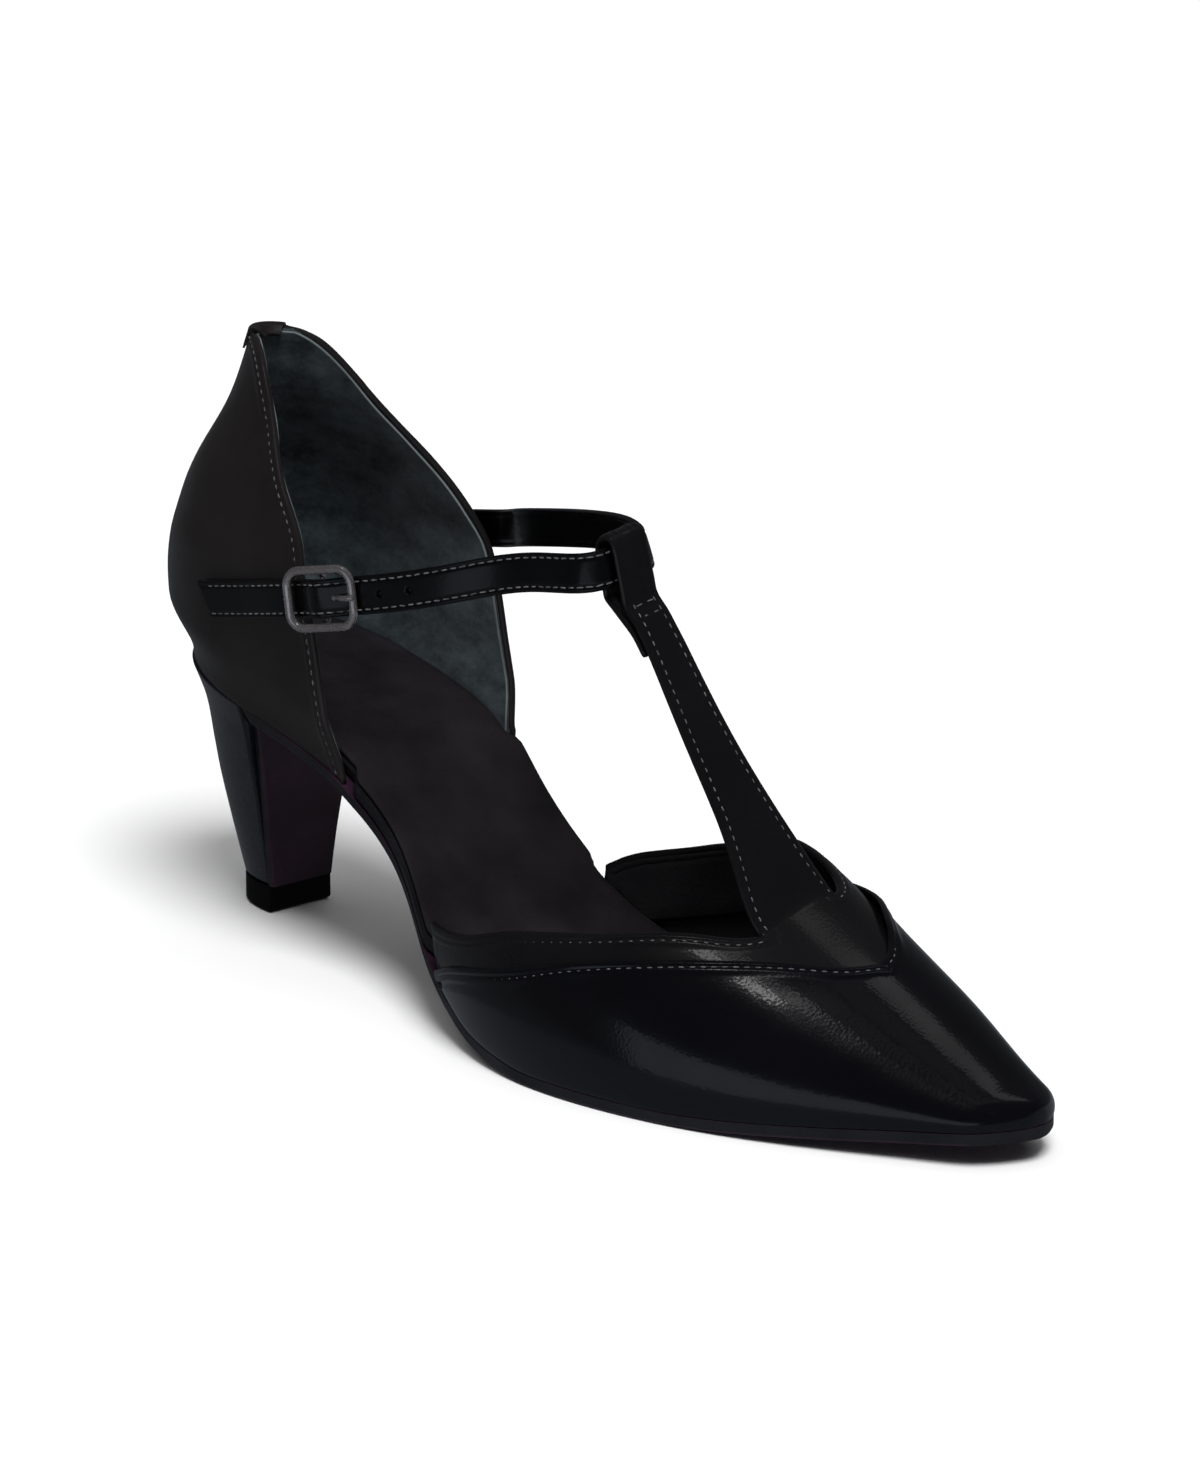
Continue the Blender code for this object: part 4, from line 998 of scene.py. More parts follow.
def on_band(a, b, shares, depth=BAND_STEP):
    """Rows on the forefoot between two lines of (along, wrap)."""
    between = a[:, None, :] + (b - a)[:, None, :] * np.asarray(shares)[None, :, None]
    return forefoot(between[..., 0], between[..., 1], depth)


@functools.lru_cache(maxsize=1)
def band_grids():
    """The band's lateral, medial and front parts, then the T with its fold, as rows of points."""
    seam, under, first, second = band_lines()
    cells = np.concatenate([np.linspace(0, 0.60, 9), np.linspace(0.64, 1, 12)])
    tucked = [0, 0.5]
    lateral_top = dense(TOPLINE_LATERAL, first + 1)
    medial_top = dense(TOPLINE_MEDIAL, len(seam) - second)
    front = seam[first:second + 1]
    t = np.linspace(0, 1, len(front))[:, None]
    base = lateral_top[-1] + (medial_top[0] - lateral_top[-1]) * t
    grids = []
    for low, tuck, top in (
        (seam[:first + 1], under[:first + 1], lateral_top),
        (seam[second:], under[second:], medial_top),
        (front, under[first:second + 1], base),
    ):
        hidden = on_band(tuck, low, tucked + [1.0])
        shown = on_band(low, top, cells)
        grids.append(np.concatenate([hidden, shown[:, 1:]], axis=1))
    shift = T_SHIFT * BALL_WIDTH
    across = np.linspace(-1, 1, len(front))
    guide = [grids[2][:, -5], grids[2][:, -1]]
    _, _, half_at_fold, roll_at_fold = t_frames()[-1]
    for x, z, half, roll in t_frames() + [(x, z, half_at_fold, roll_at_fold) for x, z in fold_line()]:
        y = across * half
        guide.append(np.stack([x + 0 * across, shift + y, z + y * math.sin(roll)], axis=-1))
    guide = np.array(guide)
    middle_column = guide[:, len(front) // 2]
    run = lengths(middle_column)
    stations = np.concatenate([np.linspace(run[1], run[2], 8)[:-1], np.linspace(run[2], run[-1], 190)])
    curve = natural_curve(run, guide.reshape(len(guide), -1))
    strap = curve(stations).reshape(len(stations), len(front), 3).transpose(1, 0, 2)
    grids.append(strap)
    return grids


def make_band(leather, lining):
    """The collar band and the T in one piece, with its folded and stitched edges."""
    under = band_lines()[1]
    points, faces = patches(band_grids())
    faces = facing(points, faces, (0, 0.2, -1))
    border = border_of(faces)
    hidden = KDTree(len(under))
    for i, point in enumerate(forefoot(under[:, 0], under[:, 1], BAND_STEP)):
        hidden.insert(point, i)
    hidden.balance()
    distance = edge_distance(points, border, lambda p: hidden.find(p)[2] > 1.0 * MM)
    normals = normals_of(points, faces)
    points = points + normals * (fold_relief(distance, BAND_STITCH_IN) * 0.8)[:, None]
    points, faces, kinds = thicken(points, faces, BAND_WALL - 0.1 * MM)
    mesh_object("collar_band_t_strap_leather", points, faces, [leather, leather, lining], kinds,
                "collar_band_t_strap")


def strap_section():
    """Closed outline of the strap as (across, out): crowned, grooved and with eased edges."""
    half, thick, ease = STRAP_WIDTH / 2, STRAP_THICK / 2, STRAP_EASE
    across = np.linspace(-half + ease, half - ease, 31)
    groove = np.exp(-((half - np.abs(across) - STRAP_STITCH_IN) / (0.36 * MM)) ** 2)
    top = thick + 0.10 * MM * np.cos(across / half * math.pi / 2) - 0.20 * MM * groove
    outline = list(zip(across, top))

    def edge(side, angles):
        for angle in angles:
            a = math.radians(angle)
            level = thick - ease if math.sin(a) >= -1e-9 else -thick + ease
            outline.append((side * (half - ease) + ease * math.cos(a), level + ease * math.sin(a)))

    edge(1, (70, 45, 20, 0, -20, -45, -70))
    outline.extend(zip(across[::-1], -thick + 0.12 * MM * groove[::-1]))
    edge(-1, (250, 225, 200, 180, 160, 135, 110))
    return outline


HOLES = (13.2 * MM, 20.4 * MM)  # distances from the buckle's middle to the punched holes


def hole_dip(s, across):
    """How far the strap's face sinks at a punched hole."""
    dip = 0
    for place in HOLES:
        far = math.hypot(s - buckle_place() - place, across)
        dip += 0.9 * MM * (1 - smooth_step((far - HOLE_RADIUS) / (0.35 * MM)))
    return dip


def strap_frame(s):
    """The strap's place and directions at this distance, raised over the buckle's bar."""
    centre, way, width, normal = ankle_point(s)
    return centre + normal * strap_raise(s), way, width, normal


def make_strap(leather):
    """The ankle strap, with its slanted end, punched holes and stitch grooves."""
    run, _ = ankle_frames()
    fine = [buckle_place() + place + d * MM for place in HOLES for d in np.linspace(-1.1, 1.1, 12)]
    stations = np.unique(np.concatenate([np.linspace(0, run[-1], 420), fine]))
    outline = strap_section()
    rows = []
    for s in stations:
        centre, way, width, normal = strap_frame(s)
        slant = END_SLANT * max(0.0, 1 - s / (8 * MM))
        rows.append([
            centre + width * a + normal * (b - (hole_dip(s, a) if b > STRAP_THICK / 4 else 0))
            - way * slant * a / STRAP_WIDTH for a, b in outline
        ])
    rows = np.array(rows)
    size = len(outline)
    faces = grid_faces(len(rows), size, ring=True)
    points = list(rows.reshape(-1, 3))
    for row, order, first in ((rows[0], 1, 0), (rows[-1], -1, (len(rows) - 1) * size)):
        base = len(points)
        points.append(row.mean(axis=0))
        faces += [[base, first + (j + 1) % size, first + j][::order] for j in range(size)]
    points, faces = distinct(points, faces)
    faces = facing(points, faces, (0, 0, 1))
    mesh_object("ankle_strap_leather", points, faces, [leather], None, "ankle_strap")


def layer_object(name, rows, cells, material, node, relief=None):
    """A flat layer from its ring rows, with a finer top that may have relief."""
    fine = []
    for row in rows:
        row = np.array(row)
        top = row[6] + (row[8] - row[6]) * np.linspace(0, 1, cells + 1)[:, None]
        if relief is not None:
            top[1:-1, 2] += relief(top[1:-1, 0], top[1:-1, 1], row)
        fine.append(np.concatenate([row[:6], top, row[9:]]))
    return capped_object(name, np.array(fine), (0, 0, 1), material, node)


def make_insole(rand, sock):
    """The lasting board with its wrapped edge, and the hollowed sock on it."""
    reach = (wall_room() + 1.3 * GAP) / SHOE_LENGTH
    board_tip = TOE_END - 9 * MM / SHOE_LENGTH
    sock_tip = TOE_END - 20 * MM / SHOE_LENGTH
    rows = layer_rows(fine_stations(reach, board_tip), GAP, BOARD_THICK, 0.0, 0.0, 0.7 * MM)
    bevel(layer_object("insole_rand", rows, 6, rand, "insole"), 0.5 * MM)
    stations = fine_stations(reach + GAP / SHOE_LENGTH, sock_tip)
    rows = layer_rows(stations, 2 * GAP + BOARD_THICK, SOCK_THICK, 0.5 * MM, GAP, 0.25 * MM)

    def dish(x, y, row):
        low, high = row[9][1], row[5][1]
        share = (y - low) / (high - low)
        hollow = -0.5 * MM * (4 * share * (1 - share)) ** 0.8
        return hollow + 0.10 * MM * wave(x, y, 21, 0.024)

    layer_object("insole_sock_leather", rows, 26, sock, "insole_sock", dish)


def fine_stations(reach, last):
    """Stations of a layer from the quarter's inner wall, close together where the back is round."""
    first = SEAT_BACK + reach + 0.0002
    span = SEAT_ROUND / 2
    fine = first + span * np.linspace(0, 1, 26)[:-1] ** 2
    return np.concatenate([fine, np.linspace(first + span, last, 170)])


def flap_rows():
    """Rows of the sole's flap, down the heel's breast."""
    rows = []
    top = feather(BREAST_TOP) - SOLE_FILLET - SOLE_THICK
    for height in np.linspace(TOP_PIECE_HEIGHT + GAP, top, 30):
        left, right = heel_sides(height / feather(SEAT_BACK))
        half = (right - left) / 2 - 1.0 * MM
        back = breast_x(height) + GAP
        rows.append(flap_row(back, height, back + FLAP_THICK, height, half, (left + right) / 2, 0))
    return rows


def flap_row(back, back_z, front, front_z, half, centre, drop):
    """One ring of the flap: its back edge, then its front face with eased edges."""
    edge = SOLE_EDGE
    return [
        (back, centre - half, back_z), (back, centre, back_z), (back, centre + half, back_z),
        (front - edge, centre + half, front_z + edge * drop), (front, centre + half - edge, front_z),
        (front, centre, front_z), (front, centre - half + edge, front_z),
        (front - edge, centre - half, front_z + edge * drop),
    ]


def make_sole(leather, edge_paint):
    """The sole with its flap, turned forward under the waist on a fillet."""
    rows = flap_rows()
    corner = BREAST_TOP + 2 * GAP / SHOE_LENGTH
    first = corner + (SOLE_FILLET + 1.5 * MM) / SHOE_LENGTH
    half, centre, top = half_width(corner), middle(corner), feather(BREAST_TOP)
    start, back = rows[-1][5], rows[-1][1]
    reach_x, reach_z = world_x(first) - start[0], feather(first) - SOLE_THICK - start[2]
    low_half = (rows[-1][4][1] - rows[-1][6][1]) / 2 + SOLE_EDGE
    low_centre = (rows[-1][4][1] + rows[-1][6][1]) / 2
    for t in np.linspace(0, 1, 9)[1:-1]:
        bend = smooth_step(t)
        early = min(1, t * 2)
        rows.append(flap_row(
            back[0] + (world_x(corner) - back[0]) * early, back[2] + (top - back[2]) * early,
            start[0] + reach_x * (1 - math.cos(t * math.pi / 2)),
            start[2] + reach_z * math.sin(t * math.pi / 2),
            low_half + (half - low_half) * bend, low_centre + (centre - low_centre) * bend, t,
        ))
    for along in station_list(first, TOE_END, 190):
        half = max(half_width(along), 0.9 * MM)
        thin = min(SOLE_EDGE, half / 2)
        level = feather(along)
        rows.append(slab_row(along, level, level - SOLE_THICK, half, middle(along), thin))
    points, faces = capped(np.array(rows, float))
    faces = facing(points, faces, (1, 0, 0))
    centres = np.array([points[face].mean(axis=0) for face in faces])
    corners = [points[face[:3]] for face in faces]
    outward = unit(np.array([np.cross(b - a, c - b) for a, b, c in corners]))
    forward = centres[:, 0] > world_x(corner) + 2 * SOLE_FILLET
    edging = (np.abs(outward[:, 1]) > 0.75) | (forward & (np.abs(outward[:, 2]) < 0.6))
    obj = mesh_object("outsole_leather", points, faces, [leather, edge_paint],
                      [int(flag) for flag in edging], "outsole")
    bevel(obj, 0.3 * MM, 2)


def make_heel(leather, rubber):
    """The covered heel, and the rubber top piece under it."""
    base = TOP_PIECE_HEIGHT + GAP
    rows = []
    for share in np.linspace(0, 1, 60):
        def height_at(x, share=share):
            return base + (feather(share_of(x)) - base) * share
        rows.append(heel_ring(share, height_at, 90))
    cover = capped_object("heel_cover", np.array(rows), (-1, 0, 0), leather, "heel")
    bevel(cover, 0.6 * MM, 4)
    ease = 0.5 * MM
    rows = []
    for height, drawn_in in ((0, ease), (ease, 0), (TOP_PIECE_HEIGHT / 2, 0), (TOP_PIECE_HEIGHT, 0)):
        ring = np.array(heel_ring(0.0, lambda x, h=height: h, 90))
        centre = ring.mean(axis=0)
        shrink = 1 - drawn_in / (TOP_PIECE_WIDTH / 2)
        rows.append(centre + (ring - centre) * [shrink, shrink, 1])
    piece = capped_object("heel_top_piece", np.array(rows), (-1, 0, 0), rubber, "top_piece")
    bevel(piece, 0.35 * MM)


def make_back_tab(leather):
    """A short strip folded over the top of the back seam."""
    run = topline_run(60)
    shift = np.array([0, QUARTER_SHIFT * BALL_WIDTH, 0])
    rise = np.array([0, 0, 1.0])
    far = TAB_NEAR + TAB_LEATHER
    wall = QUARTER_WALL + TAB_NEAR
    drop = TAB_DROP * 0.18
    half_span = (wall + far) / 2
    rows = []
    for y in np.linspace(-TAB_WIDTH / 2, TAB_WIDTH / 2, 33):
        top_z = float(np.interp(abs(y), run[:, 1], run[:, 2])) - 0.2 * MM
        shares = (1.0, 0.85, 0.66, 0.5, 0.33, 0.18, 0.03)
        base = [back_point(y, top_z - TAB_DROP * share) for share in shares]
        top, normal = base[-1]
        fall = unit(base[4][0] - top)
        crest = top + normal * (far - half_span)

        def arch(angles, reach, tall):
            return [crest + (normal * math.cos(a) + rise * tall * math.sin(a)) * reach for a in angles]

        loop = [point + out * far for point, out in base]
        loop += arch(np.linspace(0, math.pi, 9)[1:-1], half_span, 0.75)
        loop += [top - normal * (wall + TAB_THICK) + fall * drop * t for t in (0, 0.5, 1)]
        loop += [top - normal * wall + fall * drop, top - normal * wall]
        loop += arch(np.linspace(math.pi, 0, 7)[1:-1], half_span - TAB_THICK, 0.7)
        loop += [point + out * TAB_NEAR for point, out in base[::-1]]
        rows.append([point + shift for point in loop])
    tab = capped_object("back_tab_leather", np.array(rows), (-1, 0, 0), leather, "back_tab")
    bevel(tab, 0.25 * MM)


def tube(points, radii, sides=16, closed=False, flat=1.0, normal_hint=(0, 0, 1)):
    """Points and faces of a tube along a line; flat squeezes its section along the hint."""
    points = np.asarray(points, float)
    radii = np.broadcast_to(radii, (len(points),))
    if closed:
        way = np.roll(points, -1, axis=0) - np.roll(points, 1, axis=0)
    else:
        way = np.gradient(points, axis=0)
    way = unit(way)
    side = unit(np.cross(way, np.asarray(normal_hint, float)))
    up = np.cross(side, way)
    angles = np.linspace(0, 2 * math.pi, sides, endpoint=False)
    across, rise = np.cos(angles)[None, :, None], (np.sin(angles) * flat)[None, :, None]
    ring = side[:, None] * across + up[:, None] * rise
    rows = points[:, None] + ring * np.asarray(radii)[:, None, None]
    if not closed:
        return capped(rows)
    faces = grid_faces(len(points), sides, ring=True)
    last = (len(points) - 1) * sides
    for j in range(sides):
        k = (j + 1) % sides
        faces.append([last + j, last + k, k, j])
    return rows.reshape(-1, 3), faces


def joined(parts):
    """Several meshes as one."""
    points, faces = [], []
    for some, rings in parts:
        faces += [[v + len(points) for v in face] for face in rings]
        points.extend(some)
    return np.array(points), faces


def make_buckle(metal):
    """The rounded frame with its centre bar, and the prong lying on the frame."""
    centre, way, width, normal = ankle_point(buckle_place())
    level = STRAP_THICK / 2 + GAP + BUCKLE_WIRE / 2
    half_x = (BUCKLE_LENGTH - BUCKLE_WIRE) / 2
    half_y = (BUCKLE_HEIGHT - BUCKLE_WIRE) / 2
    corner = BUCKLE_CORNER

    def place(u, v, w):
        return centre + way * u + width * v + normal * w

    loop = []
    for quadrant, (sx, sy) in enumerate([(1, 1), (-1, 1), (-1, -1), (1, -1)]):
        for step in range(14):
            angle = math.pi / 2 * (quadrant + step / 13)
            u = sx * (half_x - corner) + corner * math.cos(angle)
            v = sy * (half_y - corner) + corner * math.sin(angle)
            loop.append(place(u, v, level))
    loop = closed_even(np.array(loop), 150)
    frame_part = tube(loop, BUCKLE_WIRE * 0.60, 20, True, 0.92, normal)
    bar_level = -STRAP_THICK / 2 + strap_raise(buckle_place()) - GAP - BUCKLE_WIRE / 2
    v = np.linspace(-half_y, half_y, 40)
    sunk = smooth_step((half_y - np.abs(v)) / (1.6 * MM))
    bar = [place(0, a, level + (bar_level - level) * s) for a, s in zip(v, sunk)]
    bar_part = tube(bar, BUCKLE_WIRE * 0.42, 16, False, 1.0, normal)
    points, faces = joined([frame_part, bar_part])
    mesh_object("buckle_frame_metal", points, faces, [metal], None, "buckle_frame")
    over = STRAP_THICK / 2 + GAP + 0.8 * MM
    top = level + BUCKLE_WIRE / 2 + 0.75 * MM
    u = np.linspace(0.40, 1.16, 26)
    high = over + (top - over) * smooth_step((u - 0.45) / 0.5) - 0.35 * MM * smooth_step((u - 1.02) / 0.14)
    radii = 0.62 * MM * np.where(u > 1.08, np.sqrt(np.maximum(1 - ((u - 1.08) / 0.082) ** 2, 0.02)), 1)
    radii = radii * (0.8 + 0.2 * smooth_step((u - 0.4) / 0.3))
    points, faces = tube([place(half_x * a, 0, h) for a, h in zip(u, high)], radii, 16, False, 0.8, normal)
    mesh_object("buckle_prong_metal", points, faces, [metal], None, "buckle_prong")


def closed_even(points, count):
    """A closed line as count points evenly spaced along it."""
    ring = np.concatenate([points, points[:1]])
    run = lengths(ring)
    return sample(ring, run, np.linspace(0, run[-1], count, endpoint=False))


def stitch_run(points, normals, lift=STITCH_SINK):
    """Places stitches along a line: centre, way and outward normal of each."""
    points = np.asarray(points, float)
    run = lengths(points)
    count = max(int(run[-1] / STITCH_PITCH), 1)
    at = (np.arange(count) + 0.5) * run[-1] / count
    way = unit(sample(points, run, at + 0.4 * MM) - sample(points, run, at - 0.4 * MM))
    normal = sample(unit(np.asarray(normals, float)), run, at)
    normal = unit(normal - way * np.sum(way * normal, axis=1, keepdims=True))
    return sample(points, run, at) + normal * lift, way, normal


def stitch_object(name, runs, material):
    """One mesh of short bowed threads, each sunk into the leather at its ends."""
    rng = np.random.default_rng(7)
    points, faces = [], []
    rings, sides = 5, 6
    u = np.linspace(-1, 1, rings)
    angles = np.linspace(0, 2 * math.pi, sides, endpoint=False)
    for centre, way, normal in runs:
        across = np.cross(normal, way)
        for c, w, n, a in zip(centre, way, normal, across):
            turn = rng.normal(0, 0.06)
            w, a = w * math.cos(turn) + a * math.sin(turn), a * math.cos(turn) - w * math.sin(turn)
            start = len(points)
            for t in u:
                spot = c + w * t * STITCH_LONG / 2 + n * (0.10 * MM - 0.26 * MM * t * t)
                radius = THREAD / 2 * (1 - 0.25 * t * t)
                for angle in angles:
                    points.append(spot + (a * math.cos(angle) + n * math.sin(angle) * 0.8) * radius)
            faces += grid_faces(rings, sides, start, ring=True)
            faces.append([start + j for j in range(sides)][::-1])
            faces.append([start + (rings - 1) * sides + j for j in range(sides)])
    mesh_object(name, points, faces, [material], None)


def forefoot_stitches():
    """The rows behind the vamp's edge and along both toplines."""
    seam = np.concatenate([dense(SEAM_LATERAL, 300), dense(SEAM_MEDIAL, 300)[1:]])
    line = offset_line(seam, VAMP_STITCH_IN + 0.3 * MM)
    line = line[(line[:, 1] > -0.97) & (line[:, 1] < 0.96)]
    rows = [(line, 0.0)]
    for table in (TOPLINE_LATERAL, TOPLINE_MEDIAL):
        rows.append((offset_line(dense(table, 300), BAND_STITCH_IN), BAND_STEP))
    return [stitch_run(forefoot(line[:, 0], line[:, 1], depth), last_normal(line[:, 0], line[:, 1]))
            for line, depth in rows]


def t_stitches():
    """Two short rows across the T under its loop, and one along each edge."""
    frames = np.array(t_frames())
    _, top_z, half, roll = frames[-1]
    runs = []
    for depth in (1.0, 2.8):
        z = top_z - depth * MM
        x = np.interp(z, frames[:, 1], frames[:, 0])
        across = np.linspace(-1, 1, 20) * (half - 0.8 * MM)
        line = (x + 0 * across, T_SHIFT * BALL_WIDTH + across, z + across * math.sin(roll))
        runs.append(stitch_run(np.stack(line, axis=-1), np.tile([1.0, 0, 0.5], (20, 1)), 0.0))
    sheet = band_grids()[3]
    inset_by = BAND_STITCH_IN / np.linalg.norm(sheet[-1] - sheet[0], axis=1) * (len(sheet) - 1)
    low = inset_by.astype(int)
    part = (inset_by - low)[:, None]
    each = np.arange(sheet.shape[1])
    last = int(np.argmax(sheet[len(sheet) // 2, :, 2] > top_z))
    for edges in (sheet, sheet[::-1]):
        points = (edges[low, each] * (1 - part) + edges[low + 1, each] * part)[:last]
        normal = np.cross(np.gradient(points, axis=0), (edges[-1] - edges[0])[:last])
        runs.append(stitch_run(points, normal * np.sign(normal[:, :1] + normal[:, 2:])))
    return runs


def strap_stitches():
    """A row along each edge of the ankle strap."""
    run, _ = ankle_frames()
    frames = [strap_frame(s) for s in np.linspace(1.5 * MM, run[-1] - 1.5 * MM, 300)]
    reach = STRAP_WIDTH / 2 - STRAP_STITCH_IN
    runs = []
    for side in (-1, 1):
        rows = [centre + width * side * reach + normal * STRAP_THICK / 2
                for centre, _, width, normal in frames]
        runs.append(stitch_run(rows, [frame[3] for frame in frames]))
    return runs


def quarter_stitches():
    """A row inside the quarter's free edge on both sides, from the back tab down to the sole."""
    top_run = topline_run(300)
    edge = top_run[:, [0, 2]]
    way = unit(np.gradient(edge, axis=0))
    into = np.stack([way[:, 1], -way[:, 0]], axis=-1)
    into *= np.where(into[:, 1:] > 0, -1, 1)
    moved = edge + into * QUARTER_STITCH_IN
    low = quarter_point(feather_run(9)[-1], top_run[-1], 0.04, 1.0)
    front = np.linspace(moved[-1], [low[0] - QUARTER_STITCH_IN, low[2]], 60)[1:]
    x, z = np.concatenate([moved[8:], front]).T
    step = 0.2 * MM
    y = quarter_half(x, z)
    dx = (quarter_half(x + step, z) - quarter_half(x - step, z)) / (2 * step)
    dz = (quarter_half(x, z + step) - quarter_half(x, z - step)) / (2 * step)
    runs = []
    for side in (-1, 1):
        points = np.stack([x, QUARTER_SHIFT * BALL_WIDTH + side * y, z], axis=-1)
        runs.append(stitch_run(points, np.stack([-dx, side + 0 * x, -dz], axis=-1)))
    return runs


def make_stitches(thread):
    """All the rows of stitches, in three objects."""
    stitch_object("upper_stitches", forefoot_stitches() + t_stitches(), thread)
    stitch_object("strap_stitches", strap_stitches(), thread)
    stitch_object("quarter_stitches", quarter_stitches(), thread)


class Shader:
    """A small helper that adds nodes to one material."""

    def __init__(self, name):
        self.material = bpy.data.materials.new(name)
        self.material.use_nodes = True
        self.tree = self.material.node_tree
        self.principled = self.tree.nodes["Principled BSDF"]
        self.place = self.node("ShaderNodeTexCoord").outputs["Object"]

    def node(self, kind, **values):
        made = self.tree.nodes.new(kind)
        for key, value in values.items():
            made.inputs[key.replace("_", " ")].default_value = value
        return made

    def link(self, a, b):
        self.tree.links.new(a, b)

    def set(self, **values):
        for key, value in values.items():
            self.principled.inputs[key.replace("_", " ")].default_value = value

    def noise(self, scale, detail, roughness=0.5, stretch=None):
        made = self.node("ShaderNodeTexNoise", Scale=scale, Detail=detail, Roughness=roughness)
        source = self.place
        if stretch:
            mapping = self.node("ShaderNodeMapping", Scale=stretch)
            self.link(source, mapping.inputs["Vector"])
            source = mapping.outputs["Vector"]
        self.link(source, made.inputs["Vector"])
        return made.outputs["Fac"]

    def cells(self, scale):
        made = self.node("ShaderNodeTexVoronoi", Scale=scale)
        self.link(self.place, made.inputs["Vector"])
        return made.outputs["Distance"]

    def tone(self, fac, dark, light, low=0.3, high=0.7):
        """Base colour between two tones."""
        made = self.node("ShaderNodeValToRGB")
        for element, at, colour in zip(made.color_ramp.elements, (low, high), (dark, light)):
            element.position = at
            element.color = (*colour, 1)
        self.link(fac, made.inputs["Fac"])
        self.link(made.outputs["Color"], self.principled.inputs["Base Color"])

    def roughness(self, fac, low, high):
        made = self.node("ShaderNodeMapRange", From_Min=0.3, From_Max=0.7, To_Min=low, To_Max=high)
        self.link(fac, made.inputs["Value"])
        self.link(made.outputs["Result"], self.principled.inputs["Roughness"])

    def bump(self, layers, coat=False):
        """Layers of (height, distance in metres, strength), one over the other."""
        last = None
        for height, distance, strength in layers:
            made = self.node("ShaderNodeBump", Distance=distance, Strength=strength)
            self.link(height, made.inputs["Height"])
            if last is not None:
                self.link(last, made.inputs["Normal"])
            last = made.outputs["Normal"]
        self.link(last, self.principled.inputs["Normal"])
        if coat:
            self.link(last, self.principled.inputs["Coat Normal"])


def gloss_leather(name, tone, rough=(0.25, 0.36), coat=0.9, coat_rough=0.05, grain=0.5):
    """Brushed-off black leather with a thin glossy finish over it."""
    made = Shader(name)
    made.tone(made.noise(38, 5), [c * 0.75 for c in tone], [c * 1.25 for c in tone])
    made.roughness(made.noise(90, 4), *rough)
    made.set(Coat_Weight=coat, Coat_Roughness=coat_rough, Coat_IOR=1.35, Specular_IOR_Level=0.35)
    made.bump([
        (made.noise(55, 3), 0.0004, 0.10 * grain),
        (made.cells(1500), 0.00006, 0.35 * grain),
        (made.noise(2600, 2), 0.00003, 0.25 * grain),
    ], coat=True)
    return made.material


def suede(name, dark, light):
    """Napped lining with mottled patches: partly scuffs in the nap, partly painted shade."""
    made = Shader(name)
    # The strong dark and light mottling is partly scuffed nap and partly painted shade.
    made.tone(made.noise(90, 9, 0.72, (1, 1, 1.5)), dark, light, 0.32, 0.70)
    made.set(Roughness=0.85, Specular_IOR_Level=0.25, Sheen_Weight=0.25, Sheen_Roughness=0.4)
    made.bump([(made.noise(900, 6, 0.7), 0.0002, 0.6), (made.noise(160, 4, 0.6), 0.0006, 0.35)])
    return made.material


def plain_leather(name, dark, light, rough, level=0.4):
    """Unglazed leather with a fine grain."""
    made = Shader(name)
    made.tone(made.noise(70, 5), dark, light, 0.32, 0.68)
    made.roughness(made.noise(120, 4), rough - 0.07, rough + 0.07)
    made.set(Specular_IOR_Level=level)
    made.bump([(made.cells(1100), 0.0001, 0.4), (made.noise(1700, 3), 0.00006, 0.35)])
    return made.material


def metal_finish(name, tone):
    """Worn plated metal."""
    made = Shader(name)
    made.tone(made.noise(300, 4), [c * 0.8 for c in tone], tone)
    made.roughness(made.noise(700, 4), 0.16, 0.30)
    made.set(Metallic=0.93)
    made.bump([(made.noise(1800, 3), 0.00002, 0.03)])
    return made.material


def fibre(name, dark, light, pattern, rough, level, bump):
    """Two tones under a single grain: the thread, whose lighter grey tone is a painted glint, and the
    rubber, whose tones are close.
    """
    made = Shader(name)
    made.tone(made.noise(*pattern), dark, light)
    made.set(Roughness=rough, Specular_IOR_Level=level)
    made.bump([(made.noise(*bump[:2]), *bump[2:])])
    return made.material


def make_floor():
    """A plain pale floor, just under the sole and left out of the reflections."""
    made = Shader("pale_floor")
    made.tone(made.noise(3, 2), (0.93, 0.93, 0.935), (0.95, 0.95, 0.95))
    made.set(Roughness=0.9, Specular_IOR_Level=0.1)
    mesh = bpy.data.meshes.new("floor")
    corners = [(x * FLOOR_REACH, y * FLOOR_REACH, FLOOR_Z) for x, y in ((-1, -1), (1, -1), (1, 1), (-1, 1))]
    mesh.from_pydata(corners, [], [(0, 1, 2, 3)])
    floor = bpy.data.objects.new("floor", mesh)
    mesh.materials.append(made.material)
    bpy.context.scene.collection.objects.link(floor)
    floor.visible_glossy = False


FLOOR_REACH = 6.0
FLOOR_Z = -0.0001

# The camera: the point it looks at, turn and rise in radians, distance, and the picture's own pixels
TARGET = Vector((0.0943, 0.0007, 0.055))
CAMERA_TURN = 0.854858
CAMERA_RISE = 0.286664
CAMERA_FAR = 1.18675
IMAGE_TALL = 1466
FOCAL_PIXELS = 6000
SIDEWAYS = -27.80
UPWARD = -10.40


def make_camera():
    level = math.cos(CAMERA_RISE)
    back = Vector((math.sin(CAMERA_TURN) * level, -math.cos(CAMERA_TURN) * level, math.sin(CAMERA_RISE)))
    right = Vector((math.cos(CAMERA_TURN), math.sin(CAMERA_TURN), 0))
    up = back.cross(right)
    place = TARGET + back * CAMERA_FAR
    place -= (right * SIDEWAYS + up * UPWARD) * CAMERA_FAR / FOCAL_PIXELS
    data = bpy.data.cameras.new("camera")
    data.sensor_width = 36
    data.lens = data.sensor_width * FOCAL_PIXELS / IMAGE_TALL
    data.clip_start = 0.01
    camera = bpy.data.objects.new("camera", data)
    matrix = Matrix((right, up, back)).transposed().to_4x4()
    matrix.translation = place
    camera.matrix_world = matrix
    bpy.context.scene.collection.objects.link(camera)
    bpy.context.scene.camera = camera


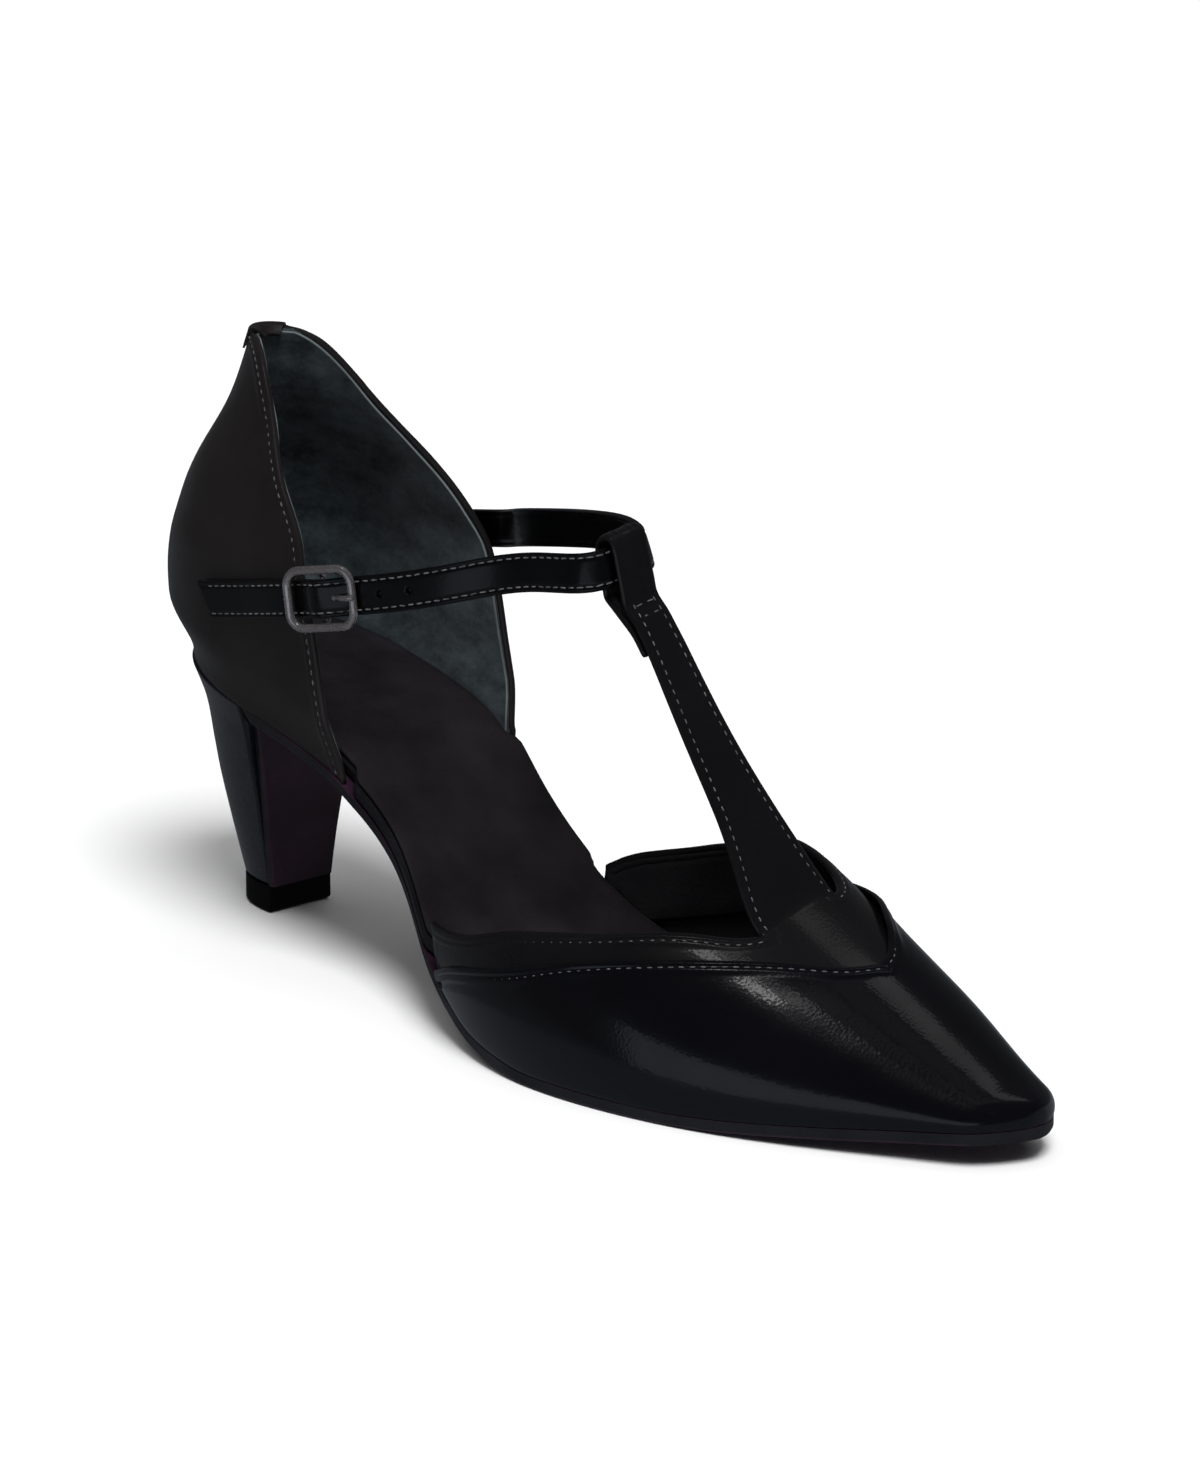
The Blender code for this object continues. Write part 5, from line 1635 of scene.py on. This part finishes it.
def area_light(name, place, target, size, energy, glossy=True, diffuse=True, tint=(1, 1, 1)):
    """A rectangular light that faces its target, or straight down where there is none."""
    data = bpy.data.lights.new(name, "AREA")
    data.shape = "RECTANGLE"
    data.size, data.size_y = size
    data.color = tint
    data.energy = energy
    light = bpy.data.objects.new(name, data)
    light.location = place
    if target:
        light.rotation_euler = (Vector(target) - Vector(place)).to_track_quat("-Z", "Y").to_euler()
    light.visible_glossy = glossy
    light.visible_diffuse = diffuse
    light.visible_camera = False
    bpy.context.scene.collection.objects.link(light)


# Lights that show in reflections only
CARDS = [  # name, place, target, size, power, tint
    ("floor_glow", (0.1, 0, -0.004), (0.1, 0, 1), (5, 5), 2.8, (0.78, 0.87, 1.0)),
    ("front_glow", (1.31, 0, -0.004), (1.31, 0, 1), (2.5, 5), 2.6, (0.78, 0.87, 1.0)),
    ("side_card", (0.62, -0.9, 0.18), (0.62, 0, 0.18), (1.4, 0.36), 0.62, (0.80, 0.88, 1.0)),
]
GLOW_HEIGHT = 1.5
OVERHEAD_GLOW = [  # x, y, size along x and y in metres, power
    (-0.02, -0.40, 0.16, 0.14, 0.38), (0.09, -0.24, 0.10, 0.18, 0.07), (0.11, 0.02, 0.10, 0.24, 0.012),
    (0.09, 0.32, 0.12, 0.30, 0.012), (-0.05, 0.75, 0.20, 0.40, 0.11),
]
SUN_POWER = 2.75
SUN_ANGLE = 27
SUN_WAY = (0.42, -0.20, 0.90)


def make_light():
    """A wide soft sky and a soft sun for the floor and the form, and cards for the gloss."""
    world = bpy.data.worlds.new("studio")
    world.use_nodes = True
    background = world.node_tree.nodes["Background"]
    background.inputs["Color"].default_value = (0.92, 0.95, 1.0, 1)
    background.inputs["Strength"].default_value = 0.045
    bpy.context.scene.world = world
    area_light("wide_sky", (0.1, 0, 3.0), (0.1, 0, 0), (6, 6), 74, glossy=False)
    for name, place, target, size, power, tint in CARDS:
        area_light(name, place, target, size, power, diffuse=False, tint=tint)
    for number, (x, y, wide, long, power) in enumerate(OVERHEAD_GLOW):
        area_light(f"strip_{number}", (x, y, GLOW_HEIGHT), None, (wide, long), power, diffuse=False)
    data = bpy.data.lights.new("key", "SUN")
    data.energy = SUN_POWER
    data.angle = math.radians(SUN_ANGLE)
    key = bpy.data.objects.new("key", data)
    key.rotation_euler = Vector(SUN_WAY).to_track_quat("Z", "Y").to_euler()
    key.visible_glossy = False
    bpy.context.scene.collection.objects.link(key)


def main():
    """Makes the materials, the stage and every piece."""
    bpy.context.scene.view_settings.view_transform = "Standard"
    gloss = gloss_leather("vamp_gloss_leather", (0.0012, 0.0012, 0.0022), (0.16, 0.26))
    quarter_gloss = gloss_leather("quarter_gloss_leather", (0.0098, 0.0078, 0.0080), (0.30, 0.42),
                                  coat=0.7, coat_rough=0.22, grain=0.3)
    strap_gloss = gloss_leather("strap_gloss_leather", (0.0008, 0.0008, 0.0012), coat=0.7, coat_rough=0.14)
    band_gloss = gloss_leather("band_gloss_leather", (0.0034, 0.0030, 0.0036), coat=0.8, coat_rough=0.10)
    heel_gloss = gloss_leather("heel_gloss_leather", (0.0064, 0.0068, 0.0098), (0.22, 0.34),
                               coat_rough=0.12, grain=0.4)
    nap_and_painted_shade = suede("quarter_suede_lining_scuffs_and_painted_shade", (0.008, 0.011, 0.013), (0.078, 0.101, 0.112))
    raw = plain_leather("lining_raw_edge", (0.070, 0.084, 0.090), (0.140, 0.160, 0.168), 0.75)
    dark_lining = plain_leather("dark_leather_lining", (0.006, 0.006, 0.007), (0.012, 0.012, 0.013), 0.6)
    sock = plain_leather("charcoal_sock_leather", (0.0070, 0.0059, 0.0068), (0.0140, 0.0118, 0.0135),
                         0.40, 0.30)
    rand = plain_leather("black_rand_leather", (0.0030, 0.0030, 0.0038), (0.0065, 0.0065, 0.0078), 0.35)
    plum = plain_leather("plum_sole_leather", (0.0150, 0.0065, 0.0135), (0.0290, 0.0120, 0.0250), 0.42, 0.3)
    sole_edge = plain_leather("black_sole_edge", (0.004, 0.004, 0.0055), (0.010, 0.010, 0.013), 0.38, 0.5)
    # Black thread with its tones lifted towards grey: the lighter tone is a painted glint.
    thread = fibre("black_thread_painted_glint", (0.045, 0.045, 0.050), (0.150, 0.150, 0.160), (900, 3), 0.38, 0.6,
                   (5200, 2, 0.00008, 0.5))
    rubber = fibre("black_rubber", (0.0015, 0.0012, 0.0015), (0.0035, 0.0030, 0.0035), (120, 5), 0.55, 0.12,
                   (1500, 4, 0.0001, 0.5))
    make_camera()
    make_floor()
    make_light()
    make_vamp(gloss, dark_lining)
    make_quarter(quarter_gloss, nap_and_painted_shade, raw)
    make_band(band_gloss, dark_lining)
    make_strap(strap_gloss)
    make_insole(rand, sock)
    make_sole(plum, sole_edge)
    make_heel(heel_gloss, rubber)
    make_back_tab(quarter_gloss)
    make_buckle(metal_finish("gunmetal", (0.58, 0.54, 0.55)))
    make_stitches(thread)


main()
